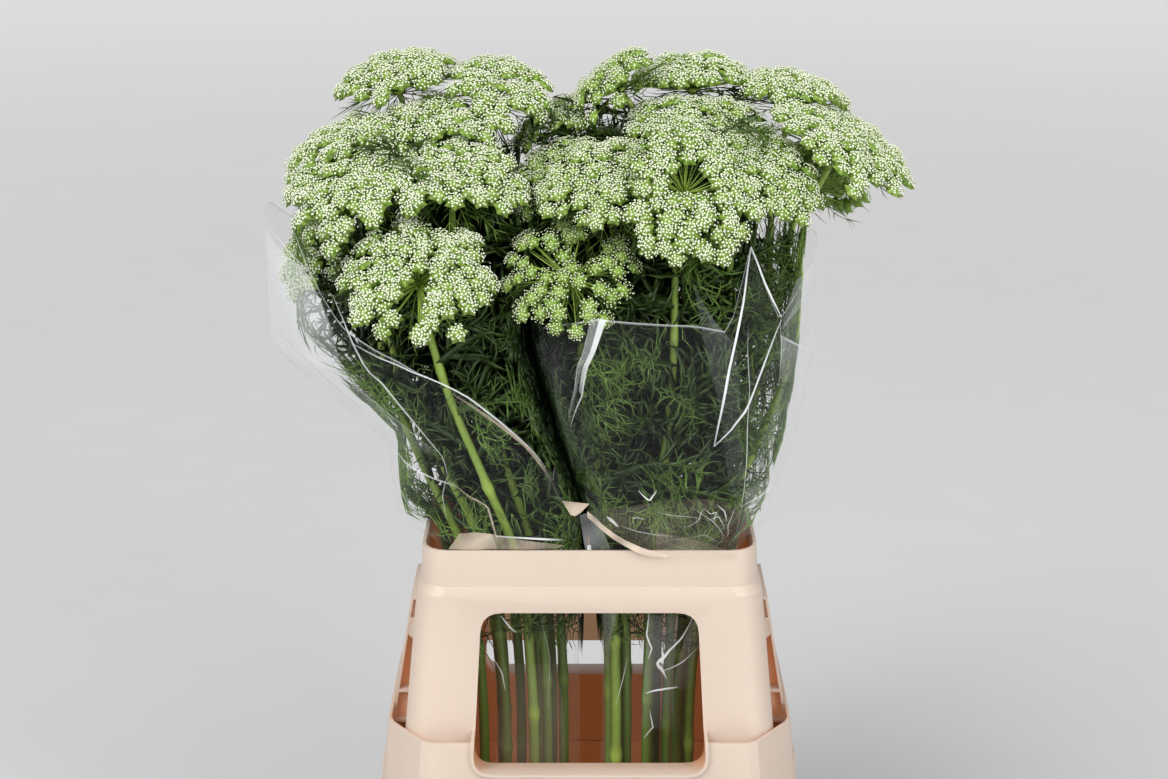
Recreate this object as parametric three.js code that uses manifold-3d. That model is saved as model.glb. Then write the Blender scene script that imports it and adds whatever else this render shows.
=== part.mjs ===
// Cut khella: two film-sleeved bunches of flowering stems, standing in water in a flower
// transport bucket that carries a tall collar with windows.
// Millimetres, +Z up. The origin is the middle of the bucket's base, and the front faces -Y.

import * as THREE from 'three';
import { mergeVertices } from 'three/addons/utils/BufferGeometryUtils.js';
import Module from 'manifold-3d';

const { lerp, smoothstep, degToRad } = THREE.MathUtils;

// Driving sizes of the bucket and the collar
const WALL = 3;
const GAP = 0.3;
const DEEPER = 50; // how much less half a side is along Y than along X, at the skirt and bucket
const RIM_HALF = 152;
const RIM_DEPTH_LESS = 53;
const RIM_Z = 500;
const STEP_TOP_Z = 466;
const STEP_LOW_Z = 458;
const BODY_LOW_Z = 282.5;
const SKIRT_TOP_Z = 329;
const LEDGE_Z = 170;
const NECK_TOP_Z = 205;
const FOOT_HALF = 200;
const WATER_Z = 60;

// Half widths of the collar's tapered body along X, by height
const BODY_HALF = [
  [BODY_LOW_Z, 174],
  [STEP_LOW_Z, 157.5],
  [STEP_TOP_Z, 153.5],
  [RIM_Z, RIM_HALF],
];

// Window in the collar's front and back
const WINDOW = { top: 443, low: 300, halfTop: 98, halfLow: 106, round: 19 };
const BACK_DROP = 10; // how much lower the window sits in the back than in the front
const BAR = { low: 327, top: 358 };
const LIP = { wall: 3, top: 333, start: 115.5, end: 142 };

// Umbel and leaf
const UMBEL_SKIN = 13;
const HUB_DROP = 33;
const CELL_GAP = 0.5;
const LEAF_LENGTH = 105;
const THREAD_LENGTH = 34;
const LEAF_TOP_Z = 700;
const CLEAN_MEET = 0.01;
const LINE_CLEAR = 2;
const LEAST_OUT = 0.3;

// Each flower: bunch, middle of its dome (x, y, z), the way it leans (degrees round from +X,
// then degrees from upright), and its radius
const FLOWERS = [
  ['left', -181, 46, 921, 240, 23, 67],
  ['left', -86, 36, 913, 275, 23, 68],
  ['left', -222, 0, 868, 215, 24, 66],
  ['left', -136, 0, 884, 268, 20, 66],
  ['left', -212, -62, 838, 245, 32, 70],
  ['left', -122, -64, 846, 270, 28, 72],
  ['left', -150, -128, 772, 265, 40, 70],
  ['left', -261, -32, 772, 208, 56, 50],
  ['left', -218, 130, 820, 120, 38, 66],
  ['left', -112, 140, 804, 95, 42, 66],
  ['right', 10, 50, 919, 178, 36, 58],
  ['right', 94, 62, 922, 262, 14, 66],
  ['right', 193, 46, 909, 320, 16, 66],
  ['right', 234, -10, 871, 332, 27, 75],
  ['right', 94, 2, 886, 268, 20, 68],
  ['right', 16, -72, 842, 262, 30, 70],
  ['right', 84, -106, 842, 275, 50, 74],
  ['right', -20, -108, 768, 262, 50, 62],
  ['right', 152, -60, 854, 297, 33, 66],
  ['right', 20, 118, 832, 95, 40, 66],
  ['right', 125, 143, 814, 85, 42, 66],
  ['right', 214, 113, 820, 62, 40, 62],
  ['right', -40, -14, 842, 215, 32, 58],
  ['right', -34, 60, 882, 200, 24, 54],
];

// How each bunch of stems opens: its middle at the foot and under the flowers, and the share
// of the flowers' spread that the stems have down in the bucket
const BUNCHES = {
  left: { foot: -62, top: -165, spreadX: 0.45, spreadY: 0.35 },
  right: { foot: 64, top: 112, spreadX: 0.3, spreadY: 0.36 },
};
const OPENS_Z = 400;
const OPEN_Z = 745;

// Film sleeves: height, middle x, middle y, half width along X and along Y, squareness
const SLEEVE_FORM = {
  left: [
    [150, -62, 0, 54, 62, 3],
    [370, -64, 0, 54, 64, 3],
    [460, -72, 0, 65, 84, 3],
    [500, -76.4, 0, 72.2, 94, 3],
    [516, -90, 0, 86, 104, 3],
    [594, -113, 0, 79, 118, 2.6],
    [680, -172, 0, 114, 142, 2.4],
    [820, -184, 0, 107, 160, 2.4],
  ],
  right: [
    [150, 64, 0, 54, 62, 3],
    [370, 66, 0, 54, 64, 3],
    [460, 72, 0, 65, 84, 3],
    [500, 76.4, 0, 72.2, 94, 3],
    [516, 83, 0, 84, 104, 3],
    [594, 80, 0, 109, 122, 2.6],
    [680, 74, 0, 127, 146, 2.4],
    [820, 82, 0, 124, 152, 2.4],
  ],
};
// Height of each sleeve's upper edge at azimuths of 0, 45, ... 315 degrees from +X
const SLEEVE_EDGE = {
  left: [600, 660, 705, 750, 800, 690, 590, 570],
  right: [765, 735, 710, 690, 680, 690, 712, 750],
};
const SLEEVE_FOOT_Z = 150;
const FILM = 1;
const FILM_CLEAR = 9;

const wasm = await Module();
wasm.setup();

// Shared helpers

// A repeatable stream of numbers from 0 to 1.
function randomStream(seed) {
  let state = seed;
  return () => {
    state = (state * 1664525 + 1013904223) % 4294967296;
    return state / 4294967296;
  };
}

// Reads a table of rows [height, value, ...] at a height, straight between its rows.
function readTable(table, z, column = 1) {
  const upper = table.findIndex((row) => row[0] >= z);
  if (upper === -1) return table.at(-1)[column];
  if (upper === 0) return table[0][column];
  const [low, high] = [table[upper - 1], table[upper]];
  return lerp(low[column], high[column], (z - low[0]) / (high[0] - low[0]));
}

// A closed surface made of rings of points, bridged one to the next.
class Skin {
  points = [];
  faces = [];

  addPoint(point) {
    return this.points.push(point) - 1;
  }

  addRing(points) {
    return points.map((point) => this.addPoint(point));
  }

  // Joins two rings of the same count with quads, each split in two, and gives their faces.
  bridge(lower, upper, isInner) {
    const first = this.faces.length;
    lower.forEach((a, i) => {
      const next = (i + 1) % lower.length;
      const [b, c, d] = [lower[next], upper[next], upper[i]];
      if (isInner) this.faces.push([a, b, d], [b, c, d]);
      else this.faces.push([a, b, c], [a, c, d]);
    });
    return this.faces.slice(first);
  }

  // Closes a ring round one middle point.
  cap(ring, point, facesUp) {
    const middle = this.addPoint(point);
    ring.forEach((a, i) => {
      const b = ring[(i + 1) % ring.length];
      this.faces.push(facesUp ? [a, b, middle] : [b, a, middle]);
    });
  }

  // Draws one face out into a thin three-sided needle.
  pull(face, tip) {
    const [a, b, c] = face;
    const end = this.addPoint(tip);
    this.faces.splice(this.faces.indexOf(face), 1, [a, b, end], [b, c, end], [c, a, end]);
  }

  geometry() {
    const flat = this.points.flatMap((p) => [p.x, p.y, p.z]);
    return new THREE.BufferGeometry()
      .setAttribute('position', new THREE.Float32BufferAttribute(flat, 3))
      .setIndex(this.faces.flat());
  }
}

// A solid whose surface runs through rings in turn. A loop goes up the outside of a wall and
// down its inside, whose quads are split like those outside, and on to the first ring.
function loft(rings, isLoop) {
  const skin = new Skin();
  const made = rings.map((ring) => skin.addRing(ring));
  made.slice(1).forEach((ring, i) => {
    skin.bridge(made[i], ring, isLoop && i >= rings.length / 2);
  });
  if (isLoop) {
    skin.bridge(made.at(-1), made[0]);
  } else {
    skin.cap(made[0], middleOf(rings[0]), false);
    skin.cap(made.at(-1), middleOf(rings.at(-1)), true);
  }
  return skin.geometry();
}

function middleOf(points) {
  const sum = points.reduce((total, p) => total.add(p), new THREE.Vector3());
  return sum.divideScalar(points.length);
}

function toSolid(geometry) {
  const bare = geometry.clone().deleteAttribute('normal').deleteAttribute('uv');
  const merged = mergeVertices(bare, 1e-4);
  return new wasm.Manifold(new wasm.Mesh({
    numProp: 3,
    vertProperties: new Float32Array(merged.attributes.position.array),
    triVerts: new Uint32Array(merged.index.array),
  }));
}

function fromSolid(solid) {
  const mesh = solid.getMesh();
  return new THREE.BufferGeometry()
    .setAttribute('position', new THREE.BufferAttribute(mesh.vertProperties, 3))
    .setIndex(new THREE.BufferAttribute(mesh.triVerts, 1));
}

function joinAll(geometries) {
  return geometries.map(toSolid).reduce((whole, piece) => whole.add(piece));
}

function cutAll(solid, geometries) {
  return geometries.map(toSolid).reduce((whole, piece) => whole.subtract(piece), solid);
}

// An outline in X and Z, carried along Y and centred on a place along Y.
function extrudeAlongY(shape, length, middle = 0) {
  const geometry = new THREE.ExtrudeGeometry(shape, { depth: length, bevelEnabled: false });
  return geometry.translate(0, 0, -length / 2).rotateX(Math.PI / 2).translate(0, middle, 0);
}

// Bucket and collar outlines

// A rectangle with round corners, seen from above.
function roundOutline(halfX, halfY, radius, z) {
  const steps = 4;
  const points = [];
  const corners = [[1, 1], [-1, 1], [-1, -1], [1, -1]];
  corners.forEach(([sx, sy], corner) => {
    for (let i = 0; i <= steps; i += 1) {
      const turn = (corner + i / steps) * Math.PI / 2;
      const x = sx * (halfX - radius) + radius * Math.cos(turn);
      const y = sy * (halfY - radius) + radius * Math.sin(turn);
      points.push(new THREE.Vector3(x, y, z));
    }
  });
  return points;
}

// A rectangle with cut corners whose edges are eased, moved in from its outline by an inset.
function cutOutline(halfX, halfY, z, inset = 0) {
  const [cutX, cutY, ease] = [38, 53, 6];
  const slant = Math.hypot(cutX, cutY);
  const inX = cutX - inset * (cutX + cutY - slant) / cutY;
  const inY = inX * cutY / cutX;
  const [x, y] = [halfX - inset, halfY - inset];
  const quarter = [[x, y - inY], [x - inX, y]];
  const sharp = [
    ...quarter,
    ...quarter.map(([px, py]) => [-px, py]).reverse(),
    ...quarter.map(([px, py]) => [-px, -py]),
    ...quarter.map(([px, py]) => [px, -py]).reverse(),
  ].map(([px, py]) => new THREE.Vector3(px, py, z));
  return sharp.flatMap((point, i) => {
    const before = sharp.at(i - 1);
    const after = sharp[(i + 1) % sharp.length];
    return [before, after].map((other) => {
      const step = other.clone().sub(point).setLength(ease);
      return point.clone().add(step);
    });
  });
}

function bodyOutline(z, inset) {
  const half = readTable(BODY_HALF, z) - inset;
  return roundOutline(half, half - RIM_DEPTH_LESS, 25 - inset, z);
}

// Half width along X of the skirt round the collar's lower part.
function skirtHalf(z) {
  return lerp(FOOT_HALF, 187, (z - LEDGE_Z) / (SKIRT_TOP_Z - LEDGE_Z));
}

function skirtOutline(z, inset) {
  return cutOutline(skirtHalf(z), skirtHalf(z) - DEEPER, z, inset);
}

// Window: a trapezoid with round corners, grown by a margin, as an outline in X and Z.
function windowShape(margin = 0) {
  const { top, low, halfTop, halfLow, round } = WINDOW;
  const corners = [[-halfLow, low], [halfLow, low], [halfTop, top], [-halfTop, top]]
    .map(([x, z]) => new THREE.Vector2(
      x + Math.sign(x) * margin,
      z + (z === top ? margin : -margin),
    ));
  const shape = new THREE.Shape();
  corners.forEach((corner, i) => {
    const radius = round + margin;
    const into = corners.at(i - 1).clone().sub(corner).setLength(radius).add(corner);
    const out = corners[(i + 1) % 4].clone().sub(corner).setLength(radius).add(corner);
    if (i === 0) shape.moveTo(into.x, into.y);
    else shape.lineTo(into.x, into.y);
    shape.quadraticCurveTo(corner.x, corner.y, out.x, out.y);
  });
  shape.closePath();
  return new THREE.Shape(shape.getPoints(5));
}

// A frame in X and Z with pockets through it, standing off the collar's short side.
function gripFrame(levels, faceX, rootX, halfLength) {
  const [low, top] = [levels[0][0], levels.at(-1)[1]];
  const rail = 2.5;
  const corner = (x, z) => new THREE.Vector2(x, z);
  const outline = [[rootX(low), low], [faceX(low), low], [faceX(top), top], [rootX(top), top]];
  const shape = new THREE.Shape(outline.map(([x, z]) => corner(x, z)));
  shape.holes = levels.map(([from, to]) => {
    const [a, b] = [from + rail, to - rail];
    return new THREE.Path([
      corner(rootX(a) + rail, a), corner(faceX(a) - rail, a),
      corner(faceX(b) - rail, b), corner(rootX(b) + rail, b),
    ]);
  });
  return extrudeAlongY(shape, 2 * halfLength);
}

// Container

function makeBody() {
  const levels = [BODY_LOW_Z, STEP_LOW_Z, STEP_TOP_Z, RIM_Z];
  const outside = levels.map((z) => bodyOutline(z, 0));
  const inside = levels.map((z) => bodyOutline(z, WALL)).reverse();
  return loft([...outside, ...inside], true);
}

function makeSkirt() {
  const levels = [LEDGE_Z + GAP, SKIRT_TOP_Z];
  const outside = levels.map((z) => skirtOutline(z, 0));
  const inside = levels.map((z) => skirtOutline(z, WALL)).reverse();
  return loft([...outside, ...inside], true);
}

// The floor of the trough between the body and the skirt, which joins the two.
function makeShoulder() {
  const z = BODY_LOW_Z - WALL / 2;
  const shape = new THREE.Shape(skirtOutline(z, WALL / 2).map((p) => new THREE.Vector2(p.x, p.y)));
  const inner = bodyOutline(z, WALL + 0.7).map((p) => new THREE.Vector2(p.x, p.y));
  shape.holes.push(new THREE.Path(inner));
  return new THREE.ExtrudeGeometry(shape, { depth: WALL, bevelEnabled: false }).translate(0, 0, z);
}

// The U-shaped lip that carries the window's lower edge out through the skirt.
function makeLip(side) {
  const length = LIP.end - LIP.start;
  const middle = side * (LIP.end + LIP.start) / 2;
  const drop = side > 0 ? BACK_DROP : 0;
  const tube = extrudeAlongY(windowShape(LIP.wall), length, middle).translate(0, 0, -drop);
  const above = new THREE.BoxGeometry(400, 400, 200).translate(0, 0, LIP.top + 100);
  return cutAll(toSolid(tube), [above]);
}

function makeRibs() {
  const [top, low, proud] = [296, 205, 4];
  return [-46, 44].map((x) => {
    const at = (z, out) => new THREE.Vector2(skirtHalf(z) - DEEPER + out, z);
    const shape = new THREE.Shape([at(top, -1), at(low, -1), at(low, proud), at(top, proud)]);
    const rib = new THREE.ExtrudeGeometry(shape, { depth: WALL, bevelEnabled: false });
    return rib.rotateX(Math.PI / 2).rotateZ(-Math.PI / 2).translate(x, 0, 0);
  });
}

// The collar, and the bar over its back window, which stands a gap off both sides of the window.
function makeCollar() {
  const onBody = (z) => readTable(BODY_HALF, z) - 1.5;
  const offBody = (z) => lerp(166, 187, (435 - z) / 126);
  const onSkirt = (z) => skirtHalf(z) - 1.5;
  const offSkirt = (z) => skirtHalf(z) + 4;
  const frames = [0, Math.PI].flatMap((turn) => [
    gripFrame([[309, 342], [340, 414], [412, 435]], offBody, onBody, 45).rotateZ(turn),
    gripFrame([[205, 278]], offSkirt, onSkirt, 48).rotateZ(turn),
  ]);
  const shells = joinAll([makeBody(), makeSkirt(), makeShoulder(), ...frames, ...makeRibs()]);
  const whole = shells.add(makeLip(-1)).add(makeLip(1));
  const reach = 90;
  const front = extrudeAlongY(windowShape(), reach, -(70 + reach / 2));
  const back = extrudeAlongY(windowShape(), reach, 70 + reach / 2).translate(0, 0, -BACK_DROP);
  const barHeights = new THREE.BoxGeometry(400, 400, BAR.top - BAR.low)
    .translate(0, 0, (BAR.top + BAR.low) / 2);
  const bar = [back, back.clone().translate(GAP, 0, 0), back.clone().translate(-GAP, 0, 0), barHeights]
    .map(toSolid)
    .reduce((rest, piece) => rest.intersect(piece), whole);
  return { collar: cutAll(whole, [front, back]), bar };
}

// The bucket's inner half width by height.
const BUCKET_INSIDE = [[WALL, 169.2], [NECK_TOP_Z, 188.5]];

function makeBucket() {
  const flange = 4;
  const hem = 22;
  const outside = [
    [0, 172], [LEDGE_Z - flange, 188], [LEDGE_Z - flange, 197], [LEDGE_Z - hem, 197],
    [LEDGE_Z - hem, FOOT_HALF], [LEDGE_Z, FOOT_HALF], [LEDGE_Z, 189], [NECK_TOP_Z, 191.5],
  ];
  const inside = [...BUCKET_INSIDE].reverse();
  return loft([...outside, ...inside].map(([z, half]) => cutOutline(half, half - DEEPER, z)));
}

function makeWater(plants) {
  const rings = [WALL + GAP, WATER_Z].map((z) => {
    const half = readTable(BUCKET_INSIDE, z);
    return cutOutline(half, half - DEEPER, z, GAP);
  });
  const holes = plants.map((plant) => stalkInWater(plant));
  return cutAll(toSolid(loft(rings)), holes);
}

// Sleeves

// A point of a sleeve's level outline, at an angle round it.
function sleevePoint(form, z, angle, inset) {
  const [x, y, halfX, halfY, square] = [1, 2, 3, 4, 5].map((i) => readTable(form, z, i));
  const bend = (value) => Math.sign(value) * Math.abs(value) ** (2 / square);
  return new THREE.Vector3(
    x + (halfX - inset) * bend(Math.cos(angle)),
    y + (halfY - inset) * bend(Math.sin(angle)),
    z,
  );
}

// True where a point is inside a sleeve by at least a margin.
function isInSleeve(point, bunch, margin) {
  const form = SLEEVE_FORM[bunch];
  const [x, y, halfX, halfY, square] = [1, 2, 3, 4, 5].map((i) => readTable(form, point.z, i));
  const across = Math.abs((point.x - x) / (halfX - margin)) ** square;
  return across + Math.abs((point.y - y) / (halfY - margin)) ** square < 1;
}

function sleeveEdge(bunch, angle) {
  const heights = SLEEVE_EDGE[bunch];
  const place = angle / (2 * Math.PI) * heights.length;
  const [low, high] = [Math.floor(place), Math.floor(place) + 1];
  return lerp(heights[low % heights.length], heights[high % heights.length],
    smoothstep(place, low, high));
}

function makeSleeve(bunch) {
  const form = SLEEVE_FORM[bunch];
  const sides = 18;
  const straight = [SLEEVE_FOOT_Z, 370, 460, RIM_Z, 516];
  const rise = [0.28, 0.56, 0.8, 1];
  const ring = (level, inset) => Array.from({ length: sides }, (_, i) => {
    const angle = i / sides * 2 * Math.PI;
    const z = level <= 1 ? lerp(straight.at(-1), sleeveEdge(bunch, angle), level) : level;
    return sleevePoint(form, z, angle, inset);
  });
  const levels = [...straight, ...rise];
  const outside = levels.map((level) => ring(level, 0));
  const inside = levels.map((level) => ring(level, FILM)).reverse();
  return loft([...outside, ...inside], true);
}

// Plants

// Works out one plant's flower axis, hub and stalk line from its row of the table.
function planPlant([bunch, x, y, z, azimuth, lean, radius], index) {
  const [turn, tilt] = [degToRad(azimuth), degToRad(lean)];
  const axis = new THREE.Vector3(
    Math.sin(tilt) * Math.cos(turn), Math.sin(tilt) * Math.sin(turn), Math.cos(tilt));
  const middle = new THREE.Vector3(x, y, z);
  const hub = middle.clone().addScaledVector(axis, -HUB_DROP);
  const neck = hub.clone().addScaledVector(axis, -45);
  const { foot, top, spreadX, spreadY } = BUNCHES[bunch];
  const heights = [WALL + GAP, WATER_Z + 20, 370, 470, 560, 640].filter((h) => h < neck.z - 40);
  const line = heights.map((h) => {
    const open = smoothstep(h, OPENS_Z, OPEN_Z);
    return new THREE.Vector3(
      lerp(foot, top, open) + (lerp(x, neck.x, open) - top) * lerp(spreadX, 1, open),
      lerp(y, neck.y, open) * lerp(spreadY, 1, open),
      h,
    );
  });
  const name = `${bunch}_${String(index + 1).padStart(2, '0')}`;
  return { name, bunch, radius, axis, middle, hub, line: [...line, neck, hub], index };
}

// Planes halfway to each near flower, which keep the umbels clear of each other.
function flowerWalls(plant, plants) {
  return plants.filter((other) => other !== plant).map((other) => {
    const way = other.middle.clone().sub(plant.middle);
    const far = way.length();
    const share = 0.5 + (plant.radius ** 2 - other.radius ** 2) / (2 * far * far);
    return { normal: way.normalize(), reach: far * share - CELL_GAP };
  });
}

// Draws a point in towards a centre until it is on the flower's own side of every plane.
function keepOnOwnSide(point, centre, plant) {
  const arm = point.clone().sub(centre);
  const offset = centre.clone().sub(plant.middle);
  const share = plant.walls.reduce((least, { normal, reach }) => {
    const along = arm.dot(normal);
    return along > 0 ? Math.min(least, (reach - offset.dot(normal)) / along) : least;
  }, 1);
  return centre.clone().addScaledVector(arm, Math.max(share, 0.02));
}

// The place of a plant's stalk at a height.
function stalkAt(plant, z) {
  const { line } = plant;
  const upper = line.findIndex((point) => point.z >= z);
  if (upper === -1) return line.at(-1).clone();
  if (upper === 0) return line[0].clone();
  const [low, high] = [line[upper - 1], line[upper]];
  return low.clone().lerp(high, (z - low.z) / (high.z - low.z));
}

// Two directions square to an axis, and to each other.
function crossAxes(axis) {
  const side = Math.abs(axis.x) > 0.9 ? new THREE.Vector3(0, 1, 0) : new THREE.Vector3(1, 0, 0);
  const first = side.sub(axis.clone().multiplyScalar(side.dot(axis))).normalize();
  return [first, axis.clone().cross(first)];
}

function ringRound(middle, axis, radius, sides) {
  const [u, v] = crossAxes(axis);
  return Array.from({ length: sides }, (_, i) => {
    const angle = i / sides * 2 * Math.PI;
    return middle.clone()
      .addScaledVector(u, radius * Math.cos(angle))
      .addScaledVector(v, radius * Math.sin(angle));
  });
}

// Stalk half thickness by height.
const STALK_RADIUS = [[0, 5], [370, 4.6], [640, 3.6], [800, 2.8]];

function stalkRings(plant, grow, sides) {
  return plant.line.map((point, i) => {
    const before = plant.line[Math.max(i - 1, 0)];
    const after = plant.line[Math.min(i + 1, plant.line.length - 1)];
    const way = i === 0 ? new THREE.Vector3(0, 0, 1) : after.clone().sub(before).normalize();
    return ringRound(point, way, readTable(STALK_RADIUS, point.z) + grow, sides);
  });
}

// The stretch of a stalk that stands in the water, grown into its plain hole.
function stalkInWater(plant) {
  const [low, high] = plant.line;
  const way = high.clone().sub(low);
  const middle = (share) => low.clone().addScaledVector(way, share);
  const up = new THREE.Vector3(0, 0, 1);
  return loft([-0.1, 1].map((share) => ringRound(middle(share), up, 5.5, 6)));
}

// Stalk, bracts, rays and the short middle ray that carries the umbel.
function makeStalk(plant, random) {
  const sides = 6;
  const { axis, hub } = plant;
  const skin = new Skin();
  const rings = stalkRings(plant, 0, sides).map((ring) => skin.addRing(ring));
  rings.slice(1).forEach((ring, i) => skin.bridge(rings[i], ring));
  skin.cap(rings[0], plant.line[0], false);
  const at = (along) => hub.clone().addScaledVector(axis, along);
  const levels = [[2.5, 3.4], [5.5, 3.4], [8, 1.6], [HUB_DROP - UMBEL_SKIN - GAP, 1.2]];
  const tops = levels.map(([along, radius]) => skin.addRing(ringRound(at(along), axis, radius, sides)));
  const bractFaces = skin.bridge(rings.at(-1), tops[0]);
  const rayFaces = skin.bridge(tops[0], tops[1]);
  skin.bridge(tops[1], tops[2]);
  skin.bridge(tops[2], tops[3]);
  skin.cap(tops[3], at(levels.at(-1)[0]), true);
  const reachTo = (share, along, turn) => {
    const [u, v] = crossAxes(axis);
    const tip = at(along)
      .addScaledVector(u, plant.radius * share * Math.cos(turn))
      .addScaledVector(v, plant.radius * share * Math.sin(turn));
    return keepOnOwnSide(tip, hub, plant);
  };
  rayFaces.forEach((face, i) => {
    const share = 0.55 + 0.25 * (i % 2);
    const turn = (Math.floor(i / 2) + 0.72 - 0.44 * (i % 2)) / sides * 2 * Math.PI;
    skin.pull(face, reachTo(share, undersideAt(share) - 2.5, turn));
  });
  bractFaces.filter((_, i) => i % 2 === 0).forEach((face, i) => {
    const turn = (i + 0.5) / sides * 2 * Math.PI;
    skin.pull(face, reachTo(0.45 + 0.15 * random(), -14 - 8 * random(), turn));
  });
  return skin.geometry();
}

// Height above the hub of the umbel's underside, by share of its radius.
function undersideAt(share) {
  return HUB_DROP - UMBEL_SKIN + (-22 * share + 4) * share ** 2;
}

// True where a point of a leaf is nearer to its own stalk than to any other, inside the film.
function isFree(point, plant, plants) {
  if (point.z > LEAF_TOP_Z || point.z > plant.hub.z - 50) return false;
  if (!isInSleeve(point, plant.bunch, FILM_CLEAR)) return false;
  const own = stalkAt(plant, point.z);
  return plants.every((other) => {
    if (other === plant || other.bunch !== plant.bunch) return true;
    const way = stalkAt(other, point.z).sub(own);
    const far = way.length();
    return point.clone().sub(own).dot(way) / far < far / 2 - 0.8;
  });
}

// True where a line stays clear of every line laid before it, at ten points from its end back
// to the first fifth, which may still touch the rib it grows from.
function staysClear(line, laid) {
  return Array.from({ length: 10 }, (_, i) => line.at(1 - 0.09 * i, new THREE.Vector3()))
    .every((point) => laid.every((other) => {
      const nearest = other.closestPointToPoint(point, true, new THREE.Vector3());
      return nearest.distanceTo(point) > LINE_CLEAR;
    }));
}

// Bends a direction up from its wish until its line is free, and gives the line's end. The
// direction stays on the side given, so that a thread never runs through its own rib.
function bendClear({ root, wish, side, length }, plant, plants, laid) {
  const up = new THREE.Vector3(0, 0, 1);
  for (let turn = 0; turn <= 0.9; turn += 0.1) {
    const way = wish.clone().lerp(up, turn).setLength(length);
    if (way.dot(side) < LEAST_OUT * length) return null;
    const line = new THREE.Line3(root, root.clone().add(way));
    const half = line.at(0.5, new THREE.Vector3());
    if ([line.end, half].every((point) => isFree(point, plant, plants)) && staysClear(line, laid)) {
      laid.push(line);
      return line.end;
    }
  }
  return null;
}

// One leaf: a thin rib that rises off the stalk, with pairs of threads from each of its joints.
function makeLeaf(plant, plants, rootZ, azimuth, older) {
  const out = new THREE.Vector3(Math.cos(azimuth), Math.sin(azimuth), 0.9).normalize();
  const root = stalkAt(plant, rootZ);
  const joints = 5;
  const rib = [root];
  const laid = [...older];
  for (let i = 1; i <= joints; i += 1) {
    const step = { root: rib.at(-1), wish: out, side: out, length: LEAF_LENGTH / joints };
    const bent = bendClear(step, plant, plants, laid);
    if (!bent) break;
    rib.push(bent);
  }
  if (rib.length < 3) return null;
  const skin = new Skin();
  const [thick, joint, sides] = [1.3, 2.2, 3];
  const rings = [skin.addRing(ringRound(rib[0], out, thick, sides))];
  skin.cap(rings[0], rib[0], false);
  const threads = [];
  rib.slice(1).forEach((point, i) => {
    const way = point.clone().sub(rib[i]).normalize();
    const below = skin.addRing(ringRound(point.clone().addScaledVector(way, -joint), way, thick, sides));
    const above = skin.addRing(ringRound(point, way, thick * 0.8, sides));
    skin.bridge(rings.at(-1), below);
    const faces = skin.bridge(below, above);
    rings.push(above);
    faces.slice(0, 4).forEach((face) => threads.push({ face, point, way }));
  });
  const last = rib.at(-1).clone().addScaledVector(out, 3);
  skin.cap(rings.at(-1), last, true);
  threads.forEach(({ face, point, way }) => {
    const middle = middleOf(face.map((i) => skin.points[i]));
    const side = middle.clone().sub(point).addScaledVector(way, joint / 2).normalize();
    const wish = side.clone().multiplyScalar(1.2).add(way).normalize();
    const thread = { root: middle, wish, side, length: THREAD_LENGTH };
    const tip = bendClear(thread, plant, plants, laid);
    if (tip) skin.pull(face, tip);
  });
  return { geometry: skin.geometry(), laid };
}

// Thickness of the thinnest triangle of a solid, across its longest edge.
function thinnest(solid) {
  const { vertProperties, triVerts } = solid.getMesh();
  const corner = (i) => new THREE.Vector3().fromArray(vertProperties, 3 * triVerts[i]);
  const heights = Array.from({ length: triVerts.length / 3 }, (_, i) => {
    const triangle = new THREE.Triangle(corner(3 * i), corner(3 * i + 1), corner(3 * i + 2));
    const edges = [triangle.a.distanceTo(triangle.b), triangle.b.distanceTo(triangle.c),
      triangle.c.distanceTo(triangle.a)];
    return 2 * triangle.getArea() / Math.max(...edges);
  });
  return Math.min(...heights);
}

// A stalk with a leaf from each side: the largest that is free there and meets it cleanly.
function makeGreen(plant, plants) {
  const random = randomStream(plant.index * 97 + 11);
  const stalk = toSolid(makeStalk(plant, random));
  const outward = Math.atan2(plant.middle.y, plant.middle.x - BUNCHES[plant.bunch].top);
  return [[450, -1], [555, 1]].reduce(({ solid, laid }, [z, side]) => {
    const rootZ = z + 40 * random();
    const turns = Array.from({ length: 7 }, (_, k) => outward + side * (0.5 + 0.8 * k + random()));
    const leaves = turns.map((turn) => makeLeaf(plant, plants, rootZ, turn, laid)).filter(Boolean);
    const joined = leaves.sort((a, b) => b.geometry.index.count - a.geometry.index.count)
      .map((leaf) => ({ solid: solid.add(toSolid(leaf.geometry)), laid: leaf.laid }))
      .find((both) => thinnest(both.solid) > CLEAN_MEET);
    return joined ?? { solid, laid };
  }, { solid: stalk, laid: [] }).solid;
}

// Umbel

// Places of a triangular lattice laid in rings: ring k has 6k points, and every third point of
// the lattice is the top of a small umbel.
function latticeRing(k) {
  const steps = [[1, 0], [0, 1], [-1, 1], [-1, 0], [0, -1], [1, -1]];
  if (k === 0) return [{ share: 0, isPeak: true }];
  return Array.from({ length: 6 * k }, (_, j) => {
    const [sector, along] = [Math.floor(j / k), j % k];
    const [across, down] = [0, 1].map((i) => k * steps[sector][i] + along * steps[(sector + 2) % 6][i]);
    return { share: j / (6 * k), isPeak: (across - down + 300) % 3 === 0 };
  });
}

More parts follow.
